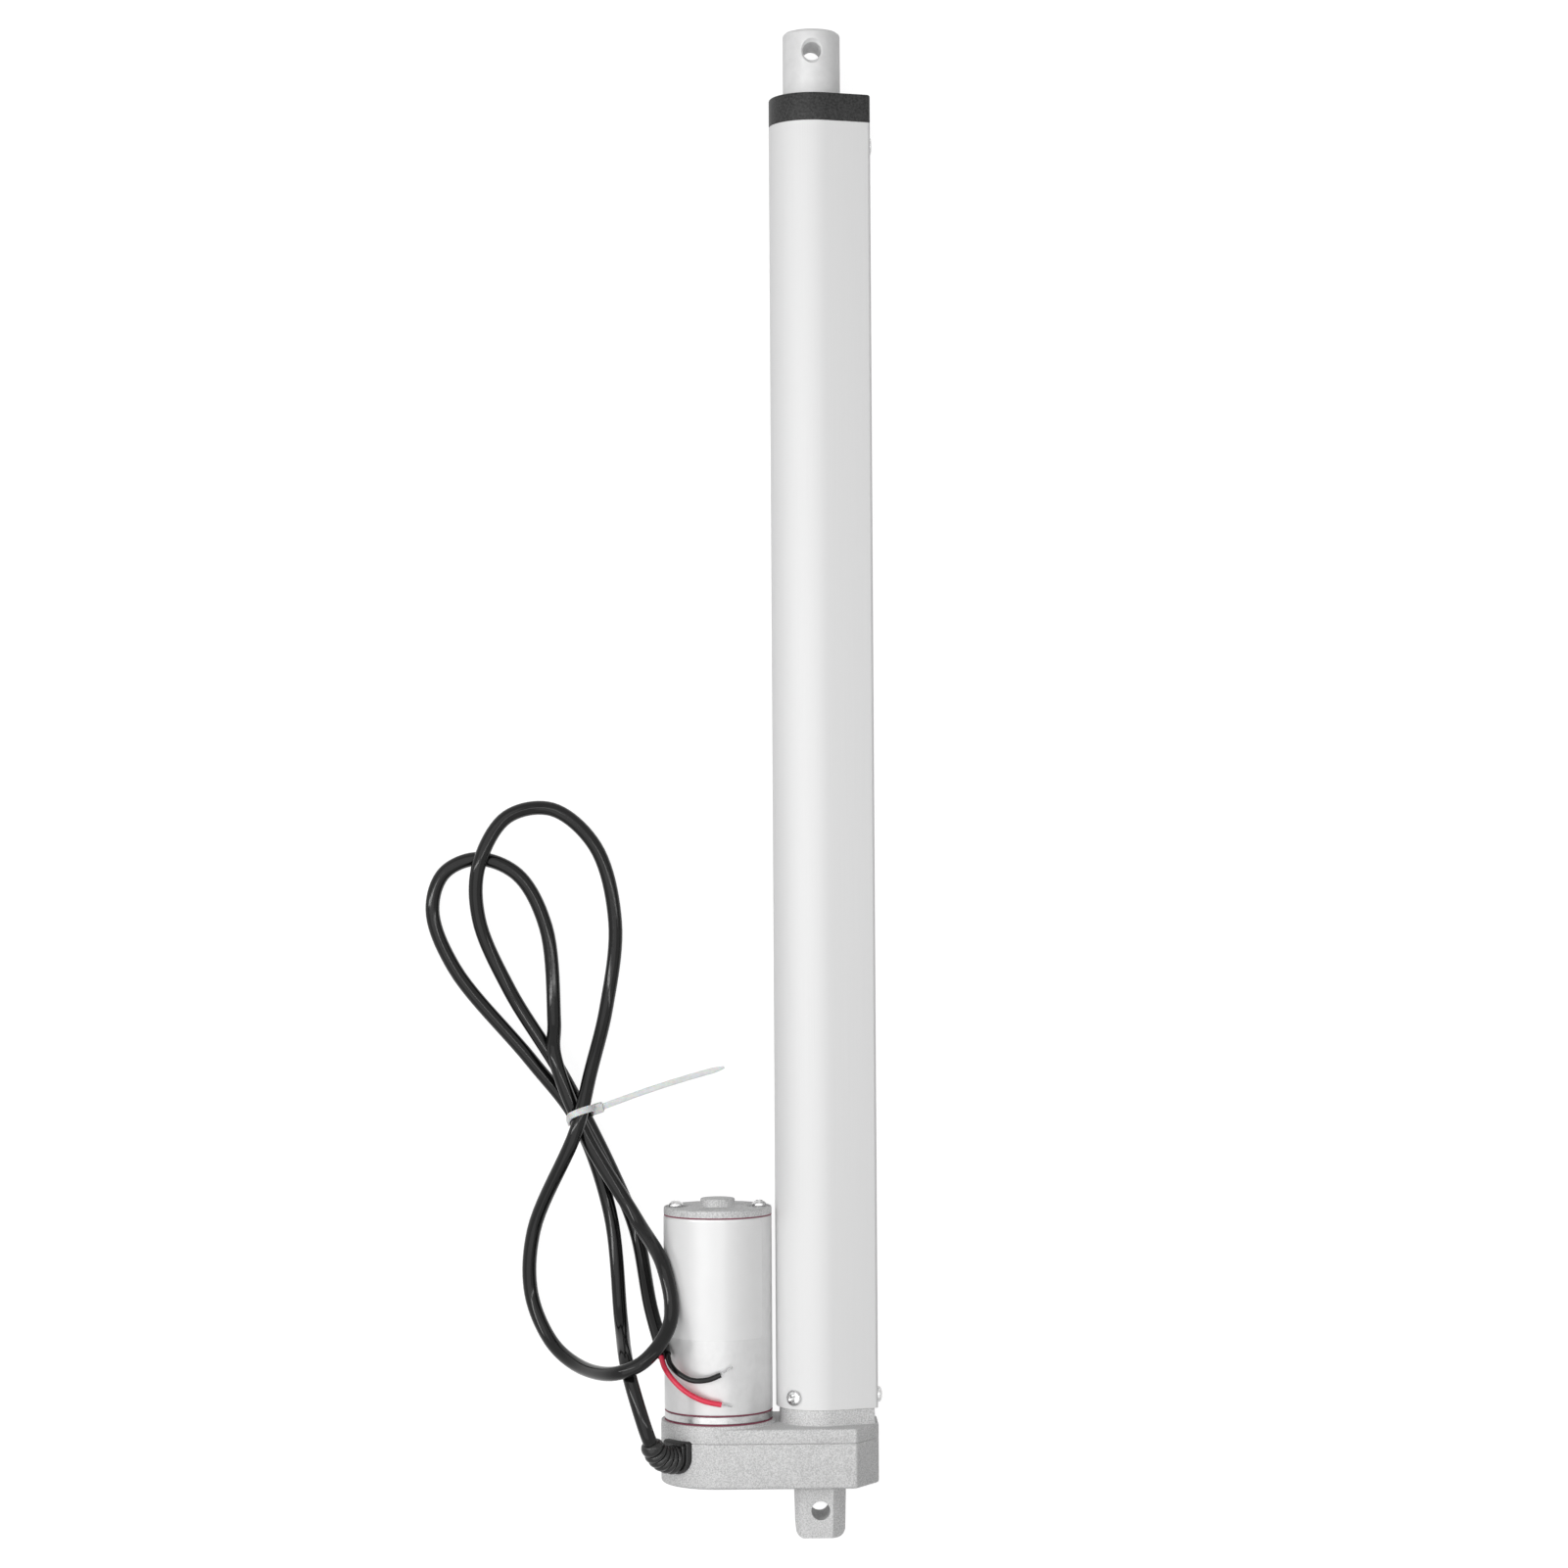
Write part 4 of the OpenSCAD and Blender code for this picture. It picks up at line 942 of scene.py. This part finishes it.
def make_lug(tip, root):
    """Rear lug, slightly narrower at its tip, with chamfered upright edges."""
    deep = 10.0
    half_root, half_tip = 8.85, 8.45
    left_cut, right_cut = (1.8, 1.6), (4.4, 3.8)
    corner = 3.0
    stations = [math.pi / 2 * k / 10 for k in range(11)]
    sides = [
        (tip + corner * (1 - math.cos(a)), corner * (1 - math.sin(a))) for a in stations
    ] + [(root + 1, 0)]
    rings = []
    for y, pull in sides:
        half = half_tip + (half_root - half_tip) * (y - tip) / (root - tip)
        right_flat, right, right_edge = lug_side(half, pull, deep, right_cut)
        left_flat, left, left_edge = lug_side(half, pull, deep, left_cut)
        rings.append([
            (right_flat, y, -deep), (right, y, -right_edge), (right, y, right_edge),
            (right_flat, y, deep), (-left_flat, y, deep), (-left, y, left_edge),
            (-left, y, -left_edge), (-left_flat, y, -deep),
        ])
    return finish_mesh("lug", loft(rings), ["die_cast"])


def lug_side(half, pull, deep, cut):
    """Where one side of the lug leaves its front face, how far out it reaches, and
    how high its side face stands, once its corner is pulled in."""
    reach = half - pull
    flat = min(half - cut[0], reach - 0.05)
    left_over = max(0.0, reach - (half - cut[0]))
    return flat, reach, deep - cut[1] * left_over / cut[0] - 0.02


def make_cover():
    """Cover casting with the motor's seat and the collar under the tube."""
    split = low("gearbox_cover").y
    front = 29.7
    seat = 30.7
    collar = low("outer_tube").y
    plate = prism_rings(box_outline, split, front, 0.4, 0.6)
    made = finish_mesh("cover_casting", loft(plate), ["die_cast"])
    disc = prism_rings(circle(BOX_HALF - 0.1, 128, MOTOR_X), front - 1, seat, 0, 0.25)
    combine(made, finish_mesh("disc", loft(disc), ["die_cast"]), "UNION")
    rings = [
        [(x, y, z) for x, z in tube_outline(inset)]
        for y, inset in ((front - 1, 0.9), (front, 0.95), (collar - 0.3, 1.2), (collar, 1.45))
    ]
    combine(made, finish_mesh("collar", loft(rings), ["die_cast"]), "UNION")
    soften(made, 0.22, 2, 35)
    return place(made, "housing", "die_cast", "gearbox_cover")


# ---- tube, cap and rod


def make_tube():
    """Anodised extrusion, hollow, with its cut ends just broken."""
    y0, y1 = low("outer_tube").y, high("outer_tube").y
    outer = prism_rings(tube_outline, y0, y1, 0.15, 0.15)
    inner = [[(x, y, z) for x, z in tube_outline(TUBE_WALL)] for y in (y1, y0)]
    made = finish_mesh("tube_extrusion", loft(outer + inner, True), ["anodised_tube"])
    return place(made, "housing", "anodised_tube", "outer_tube")


def make_front_cap():
    """Black cap with softened edges and a recess that holds the wiper."""
    y0, y1 = high("outer_tube").y, high("front_cap").y
    seam, plug_y = y0 + 0.02, y0 - 12
    bore_r, mouth_r = 10.3, 10.9
    outer = prism_rings(tube_outline, seam, y1, 0.2, 0.7)
    plug = [[(x, y, z) for x, z in tube_outline(TUBE_WALL + 0.05)] for y in (plug_y, seam)]
    made = finish_mesh("cap_moulding", loft(plug + outer), ["black_plastic"])
    bore = [(bore_r, plug_y - 1), (bore_r, y1 - 0.5), (mouth_r, y1 + 0.2), (mouth_r, y1 + 1)]
    combine(made, finish_mesh("bore", turned(bore), ["black_plastic"]))
    crease(made, 40)
    return place(made, "housing", "black_plastic", "front_cap")


def make_rod_end():
    """Solid end of the rod, chamfered, with its countersunk cross hole."""
    joint = high("rod_tube").y
    hole_y = 505.0
    tip = high("rod_end").y + 0.7
    spigot_r, spigot = 8, 15
    profile = [
        (spigot_r, joint - spigot), (spigot_r, joint), (ROD_R - 0.15, joint), (ROD_R, joint + 0.15),
        (ROD_R, tip - 1.35), (ROD_R - 0.25, tip - 0.75), (ROD_R - 1.0, tip - 0.12),
        (ROD_R - 1.5, tip),
    ]
    made = finish_mesh("rod_nose", turned(profile, 0, 0, 144), ["rod_alloy"])
    hole_r, sink = 3.2, 1.2
    reach = ROD_R + 1
    flare = hole_r + 1 + sink
    profile = [(-reach, flare), (sink - ROD_R, hole_r), (ROD_R - sink, hole_r), (reach, flare)]
    combine(made, finish_mesh("bore", loft(turned_z(profile, 72, hole_y)), ["rod_alloy"]))
    crease(made, 28)
    return place(made, "rod", "rod_alloy", "rod_end")


# ---- screws


def screw_object(name, head_r, head_h, shank_r, shank):
    """Pan-head screw with a cross recess, its head's seat at the origin, facing +Z."""
    side, dome, edge = 0.42, 0.58, 0.12
    slot_reach, slot_half, slot_depth = 0.62, 0.17, 0.62
    crown = [
        (head_h * (side + dome * math.sin(a) ** 1.15), head_r * math.cos(a))
        for a in (math.pi / 2 * k / 9 for k in range(9))
    ]
    profile = [(-shank, shank_r), (0, shank_r), (0, head_r - edge), (edge, head_r), *crown]
    head = finish_mesh(name, loft(turned_z(profile, 48)), ["zinc_steel"])
    reach, slot = head_r * slot_reach, head_r * slot_half
    depth = head_h * slot_depth
    for turn in (0, math.pi / 2):
        cutter = bmesh.new()
        top = [(reach, slot), (-reach, slot), (-reach, -slot), (reach, -slot)]
        foot = [(x * 0.45, y * 0.5) for x, y in top]
        layers = ((foot, head_h - depth), (top, head_h), (top, head_h + 1))
        loft([[(x, y, z) for x, y in layer] for layer, z in layers], False, cutter)
        bmesh.ops.rotate(
            cutter, matrix=Matrix.Rotation(turn, 3, "Z"), cent=(0, 0, 0), verts=cutter.verts
        )
        combine(head, finish_mesh("slot", cutter, ["zinc_steel"]))
    return soften(head, 0.09, 2, 38)


def set_screw(made, position, direction, turn):
    """Moves a screw's mesh so that its head points along a direction."""
    rotation = Vector(direction).to_track_quat("Z", "Y").to_matrix().to_4x4()
    spun = rotation @ Matrix.Rotation(turn, 4, "Z")
    made.data.transform(Matrix.Translation(Vector(position) * MM) @ spun)
    return made


def place_screws(name, parts, node):
    """Joins screws under one name, in place of a CAD node."""
    group = join_into(*parts)
    group.name = name
    place(group, "housing", "zinc_steel", node)


BOLT_OFFSET = 14.5
BOLT_HEAD = 2.8


def make_screws():
    """The tube's three base screws, the cap's screw and the motor's two bolts."""
    base_y, side_y = 39.3, 38.5
    tilt = math.radians(36)
    head_r, head_h, shank_r = 2.75, 1.9, 1.45
    parts = []
    for k, sign in enumerate((1, -1)):
        out = Vector((-math.sin(tilt), 0, sign * math.cos(tilt)))
        spot = out * TUBE_R
        made = screw_object("screw_part", head_r, head_h, shank_r, 3.9)
        parts.append(set_screw(made, (spot.x, base_y, spot.z), out, 0.5 + k))
    made = screw_object("screw_part", head_r, head_h, shank_r, 8)
    parts.append(set_screw(made, (TUBE_REACH, side_y, 0), (1, 0, 0), 0.3))
    place_screws("base_screws", parts, "tube_screws")
    cap_y = (low("cap_screw").y + high("cap_screw").y) / 2 + 1.3
    made = screw_object("cap_side_screw", 3.1, 0.9, shank_r, 7.5)
    set_screw(made, (TUBE_REACH, cap_y, 0), (1, 0, 0), 0.9)
    place(made, "housing", "zinc_steel", "cap_screw")
    bolts = []
    seat = high("motor_tie_bolts").y - BOLT_HEAD
    for sign in (-1, 1):
        made = screw_object("bolt_part", 2.5, BOLT_HEAD, 1.4, 60)
        spot = (MOTOR_X + sign * BOLT_OFFSET, seat, 0)
        bolts.append(set_screw(made, spot, (0, 1, 0), 0.4 + sign * 0.3))
    place_screws("motor_bolts", bolts, "motor_tie_bolts")


# ---- motor


def make_can():
    """Plated can with its ends rolled in a little."""
    y0, y1 = low("motor_can").y, high("motor_can").y
    wall = 1.4
    outer = [(MOTOR_R - 0.35, y0), (MOTOR_R - 0.1, y0 + 0.1), (MOTOR_R, y0 + 0.35)]
    outer += [(r, y0 + y1 - y) for r, y in outer[::-1]]
    profile = outer + [(MOTOR_R - wall, y1), (MOTOR_R - wall, y0)]
    made = finish_mesh("can_shell", turned(profile, MOTOR_X, 0, 160, closed=True), ["motor_steel"])
    return place(made, "housing", "motor_steel", "motor_can")


def make_bell():
    """Shiny ring between the motor's two lower gaskets."""
    y0, y1 = low("motor_front_bell").y, low("motor_can_gasket").y
    profile = [
        (MOTOR_R - 3, y0), (MOTOR_R - 0.3, y0), (MOTOR_R - 0.05, y0 + 0.25),
        (MOTOR_R - 0.02, (y0 + y1) / 2), (MOTOR_R - 0.05, y1 - 0.25), (MOTOR_R - 0.3, y1),
        (MOTOR_R - 3, y1),
    ]
    made = finish_mesh("bell_ring", turned(profile, MOTOR_X, 0, 160, closed=True), ["bright_alloy"])
    return place(made, "housing", "bright_alloy", "motor_front_bell")


def make_gasket(node, name, seed):
    """Thin paper ring whose edge is a little uneven."""
    y0, y1 = low(node).y, high(node).y
    draw = random.Random(seed)
    phases = [draw.uniform(0, 6.28) for _ in range(3)]
    width = 2.2

    def edge(a):
        waves = sum(math.sin(n * a + p) for n, p in zip((5, 13, 29), phases))
        return MOTOR_R - 0.06 + 0.05 * waves / 3

    rings = []
    for inner, y in ((True, y0), (False, y0), (False, y1), (True, y1)):
        ring = []
        for a in full_turn(180):
            r = MOTOR_R - width if inner else edge(a)
            ring.append((MOTOR_X + r * math.cos(a), y, r * math.sin(a)))
        rings.append(ring)
    made = finish_mesh(name, loft(rings, True), ["gasket"])
    return place(made, "housing", "gasket", node)


def make_end_cap():
    """Cast end cap: a boss over the rear bushing and a scallop round each bolt."""
    y0 = high("motor_cap_gasket").y
    boss = high("motor_end_cap").y
    rim_y = y0 + 2.5
    boss_r = 6
    disc = prism_rings(circle(MOTOR_R, 144, MOTOR_X), y0, rim_y, 0.15, 0.45)
    made = finish_mesh("end_cap_casting", loft(disc), ["die_cast"])
    top = prism_rings(circle(boss_r, 72, MOTOR_X), rim_y - 1, boss, 0, 0.5)
    combine(made, finish_mesh("boss", loft(top), ["die_cast"]), "UNION")
    for sign in (-1, 1):
        cut = [(4.1, rim_y - 0.7), (4.5, rim_y - 0.3), (4.5, rim_y + 1)]
        mesh = turned(cut, MOTOR_X + sign * BOLT_OFFSET, 0, 64)
        combine(made, finish_mesh("scallop", mesh, ["die_cast"]))
    soften(made, 0.18, 2, 35)
    return place(made, "housing", "die_cast", "motor_end_cap")


def make_label():
    """Bare film with rounded corners, wrapped round the can's left."""
    y0, y1 = low("motor_label").y, high("motor_label").y
    right, left = math.radians(53.5), math.radians(-95)
    corner = 1.2
    thick = 0.08
    columns, rows = 96, 12
    mesh = bmesh.new()
    sheets = []
    for lift in (0.015, thick):
        r = MOTOR_R + lift
        grid = []
        for k in range(columns + 1):
            angle = left + (right - left) * k / columns
            from_side = min(angle - left, right - angle) * r
            cut = corner - math.sqrt(max(0, corner**2 - max(0, corner - from_side) ** 2))
            x, z = MOTOR_X + r * math.sin(angle), r * math.cos(angle)
            tall = y1 - y0 - 2 * cut
            column = [(x, y0 + cut + tall * j / rows, z) for j in range(rows + 1)]
            grid.append([mesh.verts.new(p) for p in column])
        sheets.append(grid)
    for grid in sheets:
        for a, b in zip(grid, grid[1:]):
            for j in range(rows):
                mesh.faces.new((a[j], b[j], b[j + 1], a[j + 1]))
    under, over = sheets
    for j in (0, rows):
        for k in range(columns):
            mesh.faces.new((under[k][j], under[k + 1][j], over[k + 1][j], over[k][j]))
    for k in (0, columns):
        for j in range(rows):
            mesh.faces.new((under[k][j], under[k][j + 1], over[k][j + 1], over[k][j]))
    made = finish_mesh("label_sheet", mesh, ["label_film"], 40)
    return place(made, "housing", "label_film", "motor_label")


# ---- what the frame keeps


def dress_frame_nodes():
    """Gives every CAD node that stays its slot's material."""
    for part in frame["record"]["subparts"]:
        node = frame["nodes"][part["node"]]
        node.data.materials.clear()
        node.data.materials.append(MATERIALS[part["material_slot"]])


# ---- stage and light

FLOOR_SLOPE = 1 / 92
FLOOR_TOUCH = Vector((0, 0.0297, -0.0203))


def seen_ray(owner):
    """1 for rays from the camera, reflections and transmission, else 0."""
    path = add(owner, "ShaderNodeLightPath").outputs
    seen = path["Is Camera Ray"]
    for other in ("Is Glossy Ray", "Is Transmission Ray"):
        either = add(owner, "ShaderNodeMath", {0: seen, 1: path[other]}, operation="MAXIMUM")
        seen = either.outputs[0]
    return seen


def choose(owner, unseen, seen, kind):
    """Ends a material or world in one shader for seen rays and another for the rest."""
    shaders = {0: seen_ray(owner), 1: unseen.outputs[0], 2: seen.outputs[0]}
    mix = add(owner, "ShaderNodeMixShader", shaders)
    add(owner, kind, {"Surface": mix.outputs[0]})


def floor_material():
    """Pale floor that looks white, apart from the object's soft shadow."""
    m = bpy.data.materials.new("backdrop_white")
    m.use_nodes = True
    m.node_tree.nodes.clear()
    bounce = add(m, "ShaderNodeBsdfDiffuse", {"Color": (*grey(0.4), 1)})
    shade = add(m, "ShaderNodeBsdfDiffuse", {"Color": (*grey(0.25), 1)})
    glow = add(m, "ShaderNodeEmission", {"Color": (1, 1, 1, 1), "Strength": 0.91})
    white = add(m, "ShaderNodeAddShader", {0: shade.outputs[0], 1: glow.outputs[0]})
    choose(m, bounce, white, "ShaderNodeOutputMaterial")
    return m


def make_floor():
    """Flat floor that touches the gearbox and, at the far end, the front cap."""
    data = bpy.data.meshes.new("floor")
    half = 6.0
    corners = [(-half, -half, 0), (half, -half, 0), (half, half, 0), (-half, half, 0)]
    data.from_pydata(corners, [], [(0, 1, 2, 3)])
    floor = bpy.data.objects.new("floor", data)
    SCENE.collection.objects.link(floor)
    floor.location = FLOOR_TOUCH
    floor.rotation_euler = (math.atan(FLOOR_SLOPE), 0, 0)
    data.materials.append(floor_material())


def make_world():
    """White to look at, and a moderate even light on the object."""
    world = bpy.data.worlds.new("studio")
    SCENE.world = world
    world.use_nodes = True
    world.node_tree.nodes.clear()
    fill, white = (
        add(world, "ShaderNodeBackground", {"Color": (1, 1, 1, 1), "Strength": strength})
        for strength in (0.16, 1.0)
    )
    choose(world, fill, white, "ShaderNodeOutputWorld")


def make_lamp(name, location, target, size, power):
    """Square soft box that faces a target, in metres and watts."""
    data = bpy.data.lights.new(name, "AREA")
    data.shape = "RECTANGLE"
    data.size, data.size_y = size
    data.energy = power
    lamp = bpy.data.objects.new(name, data)
    SCENE.collection.objects.link(lamp)
    lamp.location = location
    aim = Vector(target) - Vector(location)
    lamp.rotation_euler = aim.to_track_quat("-Z", "Y").to_euler()


def make_lights():
    """One wide soft box overhead, a little to the left, and two narrow strips."""
    center = (-0.03, 0.3, 0)
    make_lamp("key", (-0.45, 0.24, 1.42), center, (3.0, 1.8), 14.8)
    make_lamp("strip_left", (-0.99, 0.3, 1.15), center, (0.13, 1.4), 6.4)
    make_lamp("strip_right", (0.56, 0.3, 1.38), center, (0.09, 1.4), 2.8)


# ---- the scene

SCENE.view_settings.view_transform = "Standard"
make_camera()
make_cords(make_relief(), make_tie())
make_housing()
make_cover()
make_tube()
make_front_cap()
make_rod_end()
make_screws()
make_can()
make_bell()
make_gasket("motor_base_gasket", "gasket_base", 1)
make_gasket("motor_can_gasket", "gasket_can", 2)
make_gasket("motor_cap_gasket", "gasket_cap", 4)
make_end_cap()
make_label()
dress_frame_nodes()
make_floor()
make_world()
make_lights()
